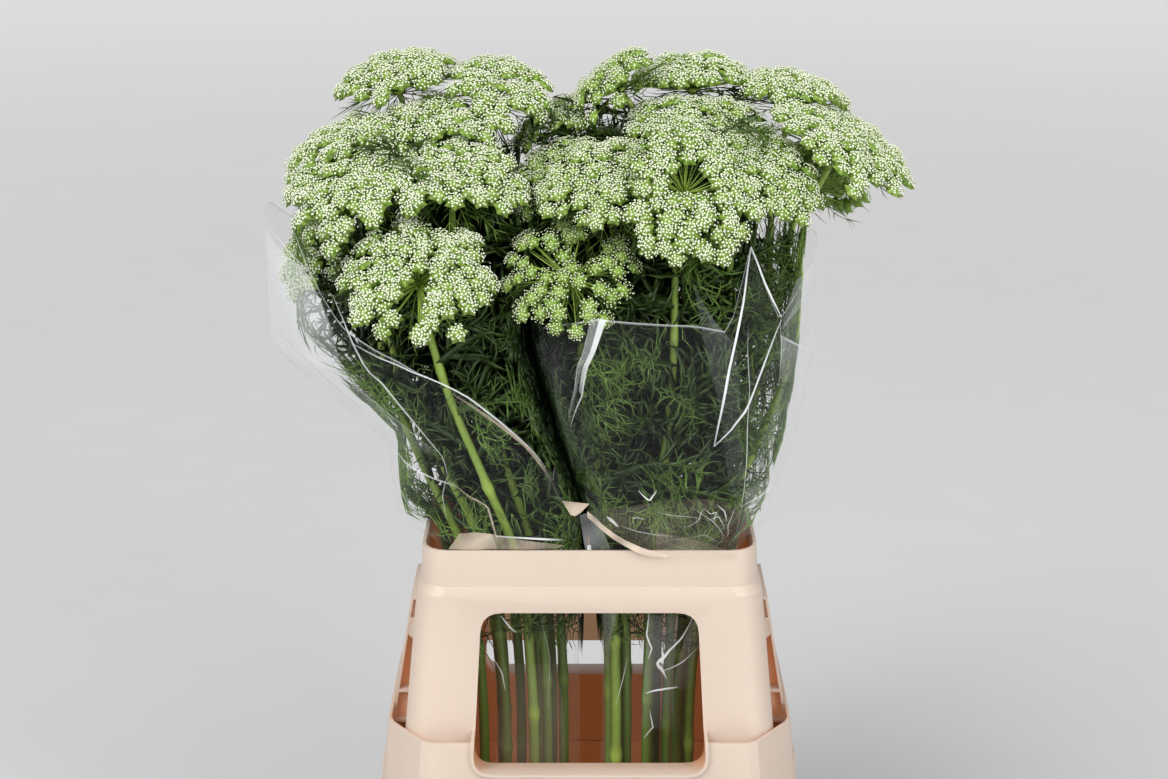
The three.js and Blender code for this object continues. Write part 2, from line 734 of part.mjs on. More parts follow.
// A domed umbel whose whole upper side stands up in small umbels, with a scalloped edge.
function makeUmbel(plant) {
  const { axis, hub, radius } = plant;
  const rings = radius > 70 ? 6 : 5;
  const [u, v] = crossAxes(axis);
  const random = randomStream(plant.index * 131 + 7);
  const centre = plant.middle.clone().addScaledVector(axis, -UMBEL_SKIN / 2);
  const place = (share, turn, along) => {
    const angle = turn * 2 * Math.PI;
    const point = hub.clone().addScaledVector(axis, along)
      .addScaledVector(u, radius * share * Math.cos(angle))
      .addScaledVector(v, radius * share * Math.sin(angle));
    return keepOnOwnSide(point, centre, plant);
  };
  const skin = new Skin();
  const laid = Array.from({ length: rings + 1 }, (_, k) => skin.addRing(
    latticeRing(k).map(({ share, isPeak }) => {
      const edge = k === rings;
      const out = k / rings + (edge ? (isPeak ? 0.05 : -0.03) : 0);
      const lift = isPeak ? 4 + 3 * random() : -2.5 * random();
      const skinThick = edge ? UMBEL_SKIN * 0.45 : UMBEL_SKIN;
      return place(out, share, undersideAt(out) + skinThick + lift);
    }),
  ));
  for (let k = 1; k <= rings; k += 1) {
    for (let sector = 0; sector < 6; sector += 1) {
      for (let o = 0; o < k; o += 1) {
        const j = sector * k + o;
        const next = laid[k][(j + 1) % (6 * k)];
        const inner = laid[k - 1];
        const i = (sector * (k - 1) + o) % inner.length;
        skin.faces.push([laid[k][j], next, inner[i]]);
        if (o < k - 1) skin.faces.push([inner[i], next, inner[(i + 1) % inner.length]]);
      }
    }
  }
  closeUnderside(skin, laid.at(-1), place);
  return skin.geometry();
}

// The hollow underside: a smaller ring inside the edge, and a fan to the middle.
function closeUnderside(skin, edge, place) {
  const count = edge.length / 3;
  const inner = skin.addRing(Array.from({ length: count }, (_, i) => (
    place(0.55, i / count, undersideAt(0.55))
  )));
  inner.forEach((point, i) => {
    const next = inner[(i + 1) % count];
    const [a, b, c, d] = [0, 1, 2, 3].map((o) => edge[(3 * i + o) % edge.length]);
    skin.faces.push([b, a, point], [c, b, point], [c, point, next], [d, c, next]);
  });
  skin.cap(inner, place(0, 0, undersideAt(0)), false);
}

// Assembly

const FINISH = {
  collar: { color: 0xe6d2be, roughness: 0.45, metalness: 0 },
  bucket: { color: 0xdfc9b3, roughness: 0.5, metalness: 0 },
  water: { color: 0xbfd0cf, roughness: 0.05, metalness: 0 },
  film: { color: 0xe9edee, roughness: 0.08, metalness: 0 },
  green: { color: 0x5f8a38, roughness: 0.55, metalness: 0 },
  floret: { color: 0xe9efdc, roughness: 0.7, metalness: 0 },
};

function makeMesh(name, shape, finish) {
  const geometry = shape.isBufferGeometry ? shape : fromSolid(shape);
  const mesh = new THREE.Mesh(geometry, new THREE.MeshStandardMaterial(FINISH[finish]));
  mesh.name = name;
  return mesh;
}

const plants = FLOWERS.map(planPlant);
plants.forEach((plant) => {
  plant.walls = flowerWalls(plant, plants);
});

const { collar, bar } = makeCollar();
const object = new THREE.Group();
object.add(
  makeMesh('collar', collar, 'collar'),
  makeMesh('collar_bar', bar, 'collar'),
  makeMesh('bucket', makeBucket(), 'bucket'),
  makeMesh('water', makeWater(plants), 'water'),
  makeMesh('sleeve_left', makeSleeve('left'), 'film'),
  makeMesh('sleeve_right', makeSleeve('right'), 'film'),
);
plants.forEach((plant) => {
  object.add(makeMesh(`stem_${plant.name}`, makeGreen(plant, plants), 'green'));
  object.add(makeMesh(`umbel_${plant.name}`, makeUmbel(plant), 'floret'));
});

export default object;
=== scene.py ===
# %% [markdown]
# # Cut khella in a flower transport bucket
# Two bunches of cut khella stand in clear film sleeves, in a plastic bucket with a tall windowed collar.
# The CAD part gives every piece its place and size. This lesson dresses it: domed umbels of small white
# flowers, ribbed stalks, leaves like green thread, creased film, and soft-edged moulded plastic.

# %% Load the frame
import math

import bmesh
import bpy
import numpy as np
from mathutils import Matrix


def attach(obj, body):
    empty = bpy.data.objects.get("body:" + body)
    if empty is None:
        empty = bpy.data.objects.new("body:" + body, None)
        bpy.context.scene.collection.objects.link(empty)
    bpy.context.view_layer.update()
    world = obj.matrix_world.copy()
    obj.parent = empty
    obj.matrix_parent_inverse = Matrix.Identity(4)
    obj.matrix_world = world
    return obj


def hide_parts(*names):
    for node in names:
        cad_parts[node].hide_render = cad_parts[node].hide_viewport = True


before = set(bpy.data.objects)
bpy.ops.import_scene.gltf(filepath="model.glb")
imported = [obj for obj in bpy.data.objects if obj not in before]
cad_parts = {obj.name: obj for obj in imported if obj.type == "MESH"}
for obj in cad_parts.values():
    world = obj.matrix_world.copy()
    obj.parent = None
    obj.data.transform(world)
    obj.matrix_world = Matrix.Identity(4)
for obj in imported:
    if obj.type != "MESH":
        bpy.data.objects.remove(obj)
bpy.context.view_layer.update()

# %% [markdown]
# ## Camera
# The photograph was taken from about 2 m away and a little above the flowers, looking down by about
# 16 degrees. A long lens keeps the collar's sides nearly upright. The same view is set up here, so each
# piece can be compared with the photograph at the same size.

# %% Camera
MM = 0.001
PHOTO_WIDTH = 1168
FOCAL_PIXELS = 2226
SENSOR_WIDTH = 36
LOOK_DOWN = 15.7
CAMERA_AT = (-5, -1988, 1182)

lens = bpy.data.cameras.new("camera")
lens.sensor_fit = "HORIZONTAL"
lens.sensor_width = SENSOR_WIDTH
lens.lens = FOCAL_PIXELS / PHOTO_WIDTH * SENSOR_WIDTH
camera = bpy.data.objects.new("camera", lens)
camera.location = [place * MM for place in CAMERA_AT]
camera.rotation_euler = (math.radians(90 - LOOK_DOWN), 0, 0)
bpy.context.scene.collection.objects.link(camera)
bpy.context.scene.camera = camera
print("lens:", round(lens.lens, 1), "mm")

# %% [markdown]
# ## Surfaces from arrays
# Every new surface is worked out as whole numpy arrays. One builder turns such arrays into a mesh, so the
# shapes below only say where points go and how rows of points join. Sizes are in millimetres until then.
# Each point also carries a tint, which the materials read as a colour along the surface.

# %% Mesh from arrays


def place_mesh(mesh, tints, material, slot=None, nodes=()):
    """Puts a mesh with its tints in the scene, and says which pieces of the frame it replaces."""
    layer = mesh.attributes.new("tint", "FLOAT", "POINT")
    layer.data.foreach_set("value", tints.astype(np.float32))
    mesh.materials.append(material)
    piece = bpy.data.objects.new(mesh.name, mesh)
    bpy.context.scene.collection.objects.link(piece)
    if slot:
        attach(piece, "root")
    if nodes:
        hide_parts(*nodes)
    return piece


def make_piece(name, parts, material, slot=None, nodes=(), smooth=True):
    """Joins parts into one mesh. A part is (points (n, 3) in mm, list of face arrays (m, k), tints (n,))."""
    starts = np.cumsum([0] + [len(part[0]) for part in parts[:-1]])
    points = np.concatenate([part[0] for part in parts]) * MM
    faces = [rows + start for part, start in zip(parts, starts) for rows in part[1]]
    tints = np.concatenate([np.broadcast_to(part[2], len(part[0])) for part in parts])
    corners = np.concatenate([rows.ravel() for rows in faces]).astype(np.int32)
    sizes = np.concatenate([np.full(len(rows), rows.shape[1]) for rows in faces])
    mesh = bpy.data.meshes.new(name)
    mesh.vertices.add(len(points))
    mesh.vertices.foreach_set("co", points.astype(np.float32).ravel())
    mesh.loops.add(len(corners))
    mesh.loops.foreach_set("vertex_index", corners)
    mesh.polygons.add(len(sizes))
    mesh.polygons.foreach_set("loop_start", np.concatenate([[0], np.cumsum(sizes)[:-1]]).astype(np.int32))
    mesh.polygons.foreach_set("use_smooth", np.full(len(sizes), smooth))
    mesh.update(calc_edges=True)
    return place_mesh(mesh, tints, material, slot, nodes)


def triangle_count(*pieces):
    """Triangles of pieces: a face of k corners holds k - 2."""
    return sum(len(piece.data.loops) - 2 * len(piece.data.polygons) for piece in pieces)


# %% Grids, tubes and lines
TUBE_SIDES = 3


def unit(vectors):
    """Each vector divided by its length."""
    return vectors / np.maximum(np.linalg.norm(vectors, axis=-1, keepdims=True), 1e-9)


def smoothstep(x, low, high):
    """0 below low, 1 above high, and 3t^2 - 2t^3 between."""
    t = np.clip((x - low) / (high - low), 0, 1)
    return t * t * (3 - 2 * t)


def cross_axes(ways):
    """For each direction, two directions square to it and to each other."""
    least = np.eye(3)[np.abs(ways).argmin(axis=-1)]
    first = unit(np.cross(ways, least))
    return first, np.cross(ways, first)


def even_turns(count):
    """Even steps round a full turn, in radians."""
    return 2 * np.pi * np.arange(count) / count


def turned(u, v, turn):
    """Directions in the plane of u and v: cos(turn) u + sin(turn) v."""
    return u[..., None, :] * np.cos(turn)[..., None] + v[..., None, :] * np.sin(turn)[..., None]


def grid_faces(rows, columns, closed=True):
    """Quads (i, j), (i, j + 1), (i + 1, j + 1), (i + 1, j) of a grid. A closed one joins its sides."""
    index = np.arange(rows * columns).reshape(rows, columns)
    if closed:
        index = np.hstack([index, index[:, :1]])
    return np.stack([index[:-1, :-1], index[:-1, 1:], index[1:, 1:], index[1:, :-1]], -1).reshape(-1, 4)


def grid_part(points, tint, closed=False):
    """A part of one grid of points (rows, columns, 3), with a tint for each point, or for each row."""
    tints = np.broadcast_to(tint, points.shape[:2]).ravel()
    return points.reshape(-1, 3), [grid_faces(*points.shape[:2], closed)], tints


def fan(rim, tip, root=False):
    """Triangles from a closed rim to a tip, turned over for a root."""
    after = np.roll(rim, -1)
    return np.stack([after, rim, np.full_like(rim, tip)] if root else [rim, after, np.full_like(rim, tip)], -1)


def copies(faces, size, count):
    """The same faces for count shapes of size points each."""
    return (faces + size * np.arange(count)[:, None, None]).reshape(-1, faces.shape[1])


def tubes(curves, radii, tint):
    """Closed tapering tubes along many curves at once: curves (n, k, 3), radii and tint for k levels.
    A point is curve + radius * (cos(turn) * u + sin(turn) * v), with u and v square to the curve's run.
    The last level is one point, so each tube ends in a tip, and a flat cap closes its root."""
    count, levels, _ = curves.shape
    run = unit(np.gradient(curves, axis=1))
    u = unit(np.cross(run, cross_axes(unit(curves[:, -1] - curves[:, 0]))[1][:, None]))
    rings = turned(u, np.cross(run, u), even_turns(TUBE_SIDES))
    radii = np.broadcast_to(radii, (count, levels))
    body = curves[:, :-1, None] + radii[:, :-1, None, None] * rings[:, :-1]
    points = np.concatenate([body.reshape(count, -1, 3), curves[:, -1:]], axis=1)
    size = points.shape[1]
    index = np.arange(size - 1).reshape(levels - 1, TUBE_SIDES)
    faces = [grid_faces(levels - 1, TUBE_SIDES), fan(index[-1], size - 1), index[:1, ::-1]]
    tint = np.broadcast_to(tint, (count, levels))
    tints = np.concatenate([np.repeat(tint[:, :-1], TUBE_SIDES, axis=1), tint[:, -1:]], axis=1)
    return points.reshape(-1, 3), [copies(rows, size, count) for rows in faces], tints.ravel()


def arcs(start, bend, end, levels):
    """Curves (n, levels, 3) that leave start towards bend and come into end: (1-s)^2 A + 2s(1-s) B + s^2 C."""
    s = np.linspace(0, 1, levels)[:, None]
    start, bend, end = (point[..., None, :] for point in (start, bend, end))
    return (1 - s) ** 2 * start + 2 * s * (1 - s) * bend + s ** 2 * end


def lengths_along(points):
    """The way along a line from its start to each of its points."""
    return np.concatenate([[0], np.cumsum(np.linalg.norm(np.diff(points, axis=0), axis=1))])


def smooth_line(points, count):
    """A smooth line of count points through given points: cubic pieces whose slopes come from neighbours."""
    points = np.asarray(points, float)
    t = lengths_along(points)
    slope = np.gradient(points, t, axis=0)
    at = np.linspace(0, t[-1], count)
    i = np.clip(np.searchsorted(t, at, side="right") - 1, 0, len(t) - 2)
    step = (t[i + 1] - t[i])[:, None]
    x = ((at - t[i])[:, None]) / step
    return ((2 * x ** 3 - 3 * x ** 2 + 1) * points[i] + (x ** 3 - 2 * x ** 2 + x) * step * slope[i]
            + (3 * x ** 2 - 2 * x ** 3) * points[i + 1] + (x ** 3 - x ** 2) * step * slope[i + 1])


def straight_line(points, count):
    """A line of count points at even steps along the straight pieces between given points."""
    t = lengths_along(points)
    return np.stack([np.interp(np.linspace(0, t[-1], count), t, column) for column in points.T], -1)


# %% [markdown]
# ## Where the plants stand
# Each plant repeats its row from the CAD part: the middle of its flower dome, the way the dome leans, and
# its radius. From these come the hub under the dome, where all rays start, and the line of the stalk.
# Both bunches stand close together in the collar and open out above it.

# %% Plants
HUB_DROP = 33
DOME_SKIN = 13
NECK_LENGTH = 45
OPENS_Z = 400
OPEN_Z = 745
STALK_HEIGHTS = [3.3, 80, 370, 470, 560, 640]
NECK_CLEAR = 40
STALK_LEVELS = 72
BUNCHES = {
    "left": {"foot": -62, "top": -165, "spread_x": 0.45, "spread_y": 0.35, "inner": 1},
    "right": {"foot": 64, "top": 112, "spread_x": 0.3, "spread_y": 0.36, "inner": -1},
}
# Dome middle x, y, z, lean towards (degrees from +X), lean (degrees from upright), radius
FLOWERS = {
    "left": [
        (-181, 46, 921, 240, 23, 67), (-86, 36, 913, 275, 23, 68), (-222, 0, 868, 215, 24, 66),
        (-136, 0, 884, 268, 20, 66), (-212, -62, 838, 245, 32, 70), (-122, -64, 846, 270, 28, 72),
        (-150, -128, 772, 265, 40, 70), (-261, -32, 772, 208, 56, 50), (-218, 130, 820, 120, 38, 66),
        (-112, 140, 804, 95, 42, 66)],
    "right": [
        (10, 50, 919, 178, 36, 58), (94, 62, 922, 262, 14, 66), (193, 46, 909, 320, 16, 66),
        (234, -10, 871, 332, 27, 75), (94, 2, 886, 268, 20, 68), (16, -72, 842, 262, 30, 70),
        (84, -106, 842, 275, 50, 74), (-20, -108, 768, 262, 50, 62), (152, -60, 854, 297, 33, 66),
        (20, 118, 832, 95, 40, 66), (125, 143, 814, 85, 42, 66), (214, 113, 820, 62, 40, 62),
        (-40, -14, 842, 215, 32, 58), (-34, 60, 882, 200, 24, 54)],
}


def plan_plant(number, bunch, x, y, z, azimuth, lean, radius):
    """One plant's axis, hub and stalk line. The line runs close to the bunch's middle in the collar, and from
    OPENS_Z to OPEN_Z it opens towards the plant's own place."""
    turn, tilt = math.radians(azimuth), math.radians(lean)
    axis = np.array([math.sin(tilt) * math.cos(turn), math.sin(tilt) * math.sin(turn), math.cos(tilt)])
    middle = np.array([x, y, z], float)
    hub = middle - HUB_DROP * axis
    neck = hub - NECK_LENGTH * axis
    grow = BUNCHES[bunch]
    height = np.array([h for h in STALK_HEIGHTS if h < neck[2] - NECK_CLEAR])
    opened = smoothstep(height, OPENS_Z, OPEN_Z)
    spread_x, spread_y = (grow[key] + (1 - grow[key]) * opened for key in ("spread_x", "spread_y"))
    centre = grow["foot"] + (grow["top"] - grow["foot"]) * opened
    low = np.stack([centre + (x + (neck[0] - x) * opened - grow["top"]) * spread_x,
                    (y + (neck[1] - y) * opened) * spread_y, height], -1)
    return {"name": f"{bunch}_{number:02d}", "number": number, "bunch": bunch, "radius": radius, "axis": axis,
            "middle": middle, "hub": hub, "line": smooth_line(np.vstack([low, neck, hub]), STALK_LEVELS)}


rows = [(bunch, *row) for bunch in FLOWERS for row in FLOWERS[bunch]]
plants = [plan_plant(number, *row) for number, row in enumerate(rows, 1)]
for plant in plants:
    others = [other for other in plants if other is not plant]
    ways = np.array([other["middle"] - plant["middle"] for other in others])
    radii = np.array([other["radius"] for other in others])
    far = np.linalg.norm(ways, axis=1)
    plant["wall_normals"] = ways / far[:, None]
    plant["wall_reach"] = far * (0.5 + (plant["radius"] ** 2 - radii ** 2) / (2 * far ** 2))
print(len(plants), "plants")


# %% [markdown]
# ## Shared material helpers
# A finish is a node tree. The helpers below write one from a short list, so each material reads like a
# recipe. Effects that several finishes share, such as mottling and fine relief, are node groups.

# %% Node helpers


def feed(tree, node, **inputs):
    """Gives inputs of a node values or other nodes' results. n0 is input 0, and _ stands for a space."""
    for key, value in inputs.items():
        name = key.replace("_", " ")
        socket = node.inputs[int(name[1:]) if name[1:].isdigit() else name]
        if isinstance(value, bpy.types.NodeSocket):
            tree.links.new(value, socket)
        else:
            socket.default_value = (*value, 1) if socket.type == "RGBA" else value


def add_node(tree, kind, settings=None, **inputs):
    """A new shader node with its settings and inputs."""
    node = tree.nodes.new("ShaderNode" + kind)
    for key, value in (settings or {}).items():
        setattr(node, key, value)
    feed(tree, node, **inputs)
    return node


def calc(tree, operation, *values, clamp=False):
    """The result of one step of arithmetic."""
    settings = {"operation": operation, "use_clamp": clamp}
    return add_node(tree, "Math", settings, **{f"n{i}": v for i, v in enumerate(values)}).outputs[0]


def mix(tree, share, first, second, blend="MIX"):
    """Two colours mixed by a share."""
    settings = {"data_type": "RGBA", "blend_type": blend}
    return add_node(tree, "Mix", settings, n0=share, n6=first, n7=second).outputs[2]


def tint_of(tree):
    """The tint that each point carries."""
    return add_node(tree, "Attribute", {"attribute_name": "tint"}).outputs["Fac"]


def ramp(tree, source, *stops):
    """A colour ramp from (place, colour) stops, fed by a socket."""
    node = add_node(tree, "ValToRGB", n0=source)
    elements = node.color_ramp.elements
    while len(elements) < len(stops):
        elements.new(0.5)
    for element, (place, tone) in zip(elements, stops):
        element.position = place
        element.color = (*tone, 1)
    return node.outputs["Color"]


def colour(*screen):
    """A colour given in screen values from 0 to 255, turned into linear light."""
    scaled = np.array(screen) / 255
    return tuple(float(v) for v in np.where(scaled > 0.04045, ((scaled + 0.055) / 1.055) ** 2.4, scaled / 12.92))


def new_group(name, result, kind, **values):
    """An empty node group that takes a vector and numbers: the group, its inputs and its result's socket."""
    group = bpy.data.node_groups.new(name, "ShaderNodeTree")
    group.interface.new_socket("Vector", in_out="INPUT", socket_type="NodeSocketVector")
    for key, value in values.items():
        group.interface.new_socket(key, in_out="INPUT", socket_type="NodeSocketFloat").default_value = value
    group.interface.new_socket(result, in_out="OUTPUT", socket_type=kind)
    return group, group.nodes.new("NodeGroupInput").outputs, group.nodes.new("NodeGroupOutput").inputs[0]


def use_group(tree, group, place, **inputs):
    """The result of a node group at a place, with its own values."""
    return add_node(tree, "Group", {"node_tree": group}, Vector=place, **inputs).outputs[0]


def new_material(name):
    """A material with an empty tree, its Principled shader and the Object coordinates."""
    material = bpy.data.materials.new(name)
    material.use_nodes = True
    tree = material.node_tree
    tree.nodes.clear()
    shader = tree.nodes.new("ShaderNodeBsdfPrincipled")
    feed(tree, tree.nodes.new("ShaderNodeOutputMaterial"), Surface=shader.outputs[0])
    return material, tree, shader, tree.nodes.new("ShaderNodeTexCoord").outputs["Object"]


# %% Shared effects
mottle, given, result = new_group("mottle", "Mask", "NodeSocketFloat", Coarse=20.0, Fine=200.0)
coarse = add_node(mottle, "TexNoise", Vector=given[0], Scale=given[1]).outputs[0]
fine = add_node(mottle, "TexNoise", Vector=given[0], Scale=given[2]).outputs[0]
mottle.links.new(calc(mottle, "MULTIPLY_ADD", fine, 0.4, coarse), result)

bump, given, result = new_group("relief", "Normal", "NodeSocketVector", Scale=400.0, Strength=0.1, Distance=0.0003)
noise = add_node(bump, "TexNoise", Vector=given[0], Scale=given[1]).outputs[0]
relief = add_node(bump, "Bump", Strength=given[2], Distance=given[3], Height=noise)
bump.links.new(relief.outputs[0], result)
print("shared effects:", mottle.name, bump.name)


# %% [markdown]
# ## Plant finishes
# All green parts use one recipe: a dark and a light green, chosen by the tint that each point carries and
# by a soft mottling, so that shaded roots and bright tips differ. The florets go from green stalklets to
# cream white rims in the same way.

# %% Plant materials


def plant_material(name, dark, light, roughness):
    """Colour from the tint and the mottle mask, with fine relief."""
    material, tree, shader, place = new_material(name)
    uneven = calc(tree, "MULTIPLY_ADD", use_group(tree, mottle, place, Coarse=18.0, Fine=160.0), 0.5, -0.35)
    level = calc(tree, "ADD", uneven, tint_of(tree), clamp=True)
    feed(tree, shader, Base_Color=ramp(tree, level, (0, dark), (1, light)), Roughness=roughness,
         Normal=use_group(tree, bump, place, Scale=900.0, Strength=0.25))
    return material


leaf_green = plant_material("leaf_green", colour(20, 38, 12), colour(108, 143, 56), 0.45)
stalk_green = plant_material("stalk_green", colour(90, 116, 44), colour(174, 204, 88), 0.38)

floret_white, tree, shader, place = new_material("floret_white")
tone = ramp(tree, tint_of(tree), (0, colour(86, 124, 30)), (0.35, colour(140, 172, 66)),
            (0.7, colour(220, 229, 182)), (1, colour(246, 249, 232)))
mask = use_group(tree, mottle, place, Coarse=30.0, Fine=300.0)
shade = ramp(tree, mask, (0.35, (0.8, 0.86, 0.7)), (0.85, (1, 1, 1)))
feed(tree, shader, Base_Color=mix(tree, 0.5, tone, shade, "MULTIPLY"), Roughness=0.6)
print("plant finishes:", leaf_green.name, stalk_green.name, floret_white.name)


# %% [markdown]
# ## Florets
# A khella flower head is an umbel of umbels: some 50 to 100 rays rise from the hub, and each ends in a
# small umbel of about 28 white flowers of 2 to 3 mm on green stalklets. The places follow the golden angle,
# as seeds do in a sunflower, both over the dome and in each small umbel. A flower is a four-sided double
# cone of only eight faces, because there are tens of thousands. Its green stalklets are drawn together as
# a fluted cup.

# %% Small umbels over a dome
GOLDEN_ANGLE = math.pi * (3 - math.sqrt(5))
DOME_FALL = 22
DOME_RISE = 4
UMBELLET_AREA = 170
UMBELLET_RADIUS = 8.8
UMBELLET_RISE = 3.2
UMBELLET_SUNK = 5.5
WALL_OVERLAP = 3
FLORETS_EACH = 28
FLORET_SIDES = 4
FLORET_RADIUS = 1.28
FLORET_TOP = 0.35
FLORET_ROOT = 0.9
FLORET_ROOT_TINT = 0.2
CORE_SIDES = 12
CORE_TOP = 0.9
CORE_DEPTH = 6.5
# Ridges and grooves of a cup in turn: width in shares, depth under the flowers and tint.
# The lower tint of the grooves is painted shade between the stalklets
CORE_FLUTES = [[1.02, 2.9, 0.36], [0.72, 4.2, 0.1]]
# Younger heads: how much greener and more open they are
YOUNG_HEADS = {18: 0.3, 16: 0.07, 23: 0.2, 24: 0.15, 11: 0.15, 15: 0.05, 17: 0.03, 19: 0.05}
# Heads at the top of the bunches, whose edges hang lower by so many mm
HANGING_HEADS = {1: 11, 2: 11, 11: 8, 12: 13, 13: 15, 24: 6}
# Round gaps where a head shows its rays: middle to the viewer's right and up the head, and radius, in shares
OPEN_HEADS = {
    17: [((0.0, 0.02), 0.25)],
    7: [((0.0, -0.28), 0.2), ((-0.1, -0.62), 0.22)],
    16: [((0.35, -0.7), 0.25)],
    18: [((0.3, 0.1), 0.22), ((-0.35, 0.3), 0.2), ((0.05, -0.45), 0.15)],
    6: [((-0.1, -0.75), 0.24), ((0.5, -0.7), 0.2)],
}


def golden_spots(count):
    """Shares of a radius and turns of count evenly packed spots: sqrt((i + 0.5) / n) and i golden angles."""
    i = np.arange(count)
    return np.sqrt((i + 0.5) / count), i * GOLDEN_ANGLE


def dome_height(share):
    """Height over the hub, by share s of the radius: a flat dome 4 s^2 - 22 s^3 that turns down at its edge."""
    skin = DOME_SKIN * (1 - 0.5 * smoothstep(share, 0.8, 1.05))
    return HUB_DROP - DOME_SKIN + (-DOME_FALL * share + DOME_RISE) * share ** 2 + skin


def dome_frame(plant):
    """Two directions across the head: to the viewer's right, and up the head as the viewer sees it."""
    right = unit(np.cross(plant["axis"], [0, -1, 0.3]))
    return right, np.cross(plant["axis"], right)


def umbellets(plant, random):
    """Middles and outward directions of a head's small umbels, at golden spots on the dome. Those past the
    walls half way to the neighbouring heads are left out."""
    number, radius, axis = plant["number"], plant["radius"], plant["axis"]
    count = round(math.pi * radius ** 2 / UMBELLET_AREA / (1 + YOUNG_HEADS.get(number, 0)))
    share, turn = golden_spots(count)
    share = 0.95 * share + random.normal(0, 0.022, count)
    turn = turn + random.normal(0, 0.1, count) + number
    radial = turned(*dome_frame(plant), turn)
    hang = HANGING_HEADS.get(number, 0)
    lift = dome_height(share) - hang * share ** 3 - UMBELLET_SUNK + np.clip(random.normal(0, 2.2, count), -4.5, 1.5)
    middles = plant["hub"] + radial * (radius * share)[:, None] + axis * lift[:, None]
    slope = (3 * (DOME_FALL + hang) * share ** 2 - 2 * DOME_RISE * share) / radius
    outward = unit(axis + radial * slope[:, None] + random.normal(0, 0.17, (count, 3)))
    arm = (middles - plant["middle"]) @ plant["wall_normals"].T
    keep = (arm < plant["wall_reach"] + WALL_OVERLAP).all(axis=1)
    for (gap_x, gap_y), gap in OPEN_HEADS.get(number, []):
        keep &= np.hypot(share * np.cos(turn) - gap_x, share * np.sin(turn) - gap_y) > gap
    return middles[keep], outward[keep]


def double_cones(rims, tops, roots, tints):
    """Many double cones at once: rims (n, k, 3), tops and roots (n, 3), tints (n, k + 2)."""
    points = np.concatenate([rims, tops[:, None], roots[:, None]], axis=1)
    count, size, _ = points.shape
    side = np.arange(size - 2)
    faces = np.concatenate([fan(side, size - 2), fan(side, size - 1, root=True)])
    return points.reshape(-1, 3), [copies(faces, size, count)], tints.ravel()


def floret_cones(places, ways, sizes, tint):
    """Flowers as double cones: a rim of FLORET_SIDES round each place, a low top and a longer root."""
    rims = places[:, None] + sizes[:, None, None] * turned(*cross_axes(ways), even_turns(FLORET_SIDES))
    tints = np.repeat(tint[:, None], FLORET_SIDES + 2, axis=1)
    tints[:, -1] = FLORET_ROOT_TINT
    return double_cones(rims, places + FLORET_TOP * sizes[:, None] * ways,
                        places - FLORET_ROOT * sizes[:, None] * ways, tints)


def umbellet_flowers(middles, outward, random):
    """Flowers of small umbels at golden spots over a shallow cap, UMBELLET_RISE (1 - share^2) mm up."""
    share, turn = golden_spots(FLORETS_EACH)
    share = share * random.uniform(0.95, 1.05, (len(middles), FLORETS_EACH))
    turn = turn + random.uniform(0, 6, (len(middles), 1)) + random.normal(0, 0.12, share.shape)
    side = turned(*cross_axes(outward), turn)
    radius = UMBELLET_RADIUS * random.uniform(0.85, 1.12, (len(middles), 1))
    rise = UMBELLET_RISE * (1 - share ** 2) + random.normal(0, 0.45, share.shape)
    places = middles[:, None] + side * (radius * share)[..., None] + outward[:, None] * rise[..., None]
    ways = unit(outward[:, None] + 0.7 * share[..., None] * side + random.normal(0, 0.22, side.shape))
    return places.reshape(-1, 3), ways.reshape(-1, 3)


def stalklet_cores(middles, outward, young, random):
    """The green stalklets of each small umbel, drawn together as a fluted cup: from a point it opens to a
    rim whose radius and height step in and out, and a low star closes it under the flowers."""
    turn = even_turns(CORE_SIDES) + random.uniform(0, 6, (len(middles), 1))
    wide, deep, tint = np.resize(CORE_FLUTES, (CORE_SIDES, 3)).T[..., None]
    wide = (1.16 - 0.65 * young) * UMBELLET_RADIUS * wide
    rims = middles[:, None] + turned(*cross_axes(outward), turn) * wide - outward[:, None] * deep
    # The tint is lower in the grooves: painted shade between the stalklets
    tints = np.concatenate([tint.ravel(), [0.24, 0.0]]) + random.uniform(0, 0.12, (len(middles), 1))
    return double_cones(rims, middles + CORE_TOP * outward, middles - CORE_DEPTH * outward, tints)


def make_head(plant):
    """One head: its flowers, and the green stalklets that hold them. Younger flowers are smaller and greener."""
    random = np.random.default_rng(plant["number"] * 131 + 7)
    middles, outward = umbellets(plant, random)
    places, ways = umbellet_flowers(middles, outward, random)
    young = YOUNG_HEADS.get(plant["number"], 0)
    sizes = FLORET_RADIUS * (1 - 0.95 * young) * random.uniform(0.8, 1.15, len(places))
    flowers = floret_cones(places, ways, sizes, random.uniform(0.8, 1.0, len(places)) - 0.3 * young)
    plant["umbellets"] = middles - 1.5 * outward
    plant["umbellet_ways"] = outward
    cores = stalklet_cores(middles, outward, young, random)
    return make_piece(f"florets_{plant['name']}", [flowers, cores], floret_white, "floret",
                      [f"umbel_{plant['name']}"])


heads = [make_head(plant) for plant in plants]
print("heads:", len(heads), "with", triangle_count(*heads), "triangles")


# %% [markdown]
# ## Stalks, rays and bracts
# A stalk is a ribbed tube with a swollen joint every hand's breadth. At its top is a small knob, the hub.
# Curved rays rise from it to the small umbels, and a ruff of forked bracts, thin as thread, hangs below.
# All of these are tubes along curves: a fat one by a grid with ribs, and thin ones many at once.

# %% Stalks
STALK_RADIUS = ([0, 370, 640, 800, 900], [5, 4.6, 3.6, 2.8, 2.6])
RIB_COUNT = 7
JOINT_SPACING = 118
JOINT_SWELL = 1.5
JOINT_LENGTH = 5
JOINT_FREE = 60
RIB_HEIGHT = 0.04
FOOT_ROUND = 0.8
# The z between which the collar's shade on the stalks ends, and between which they get lighter
SHADED_Z = (400, 500)
LIGHTER_Z = (560, 860)


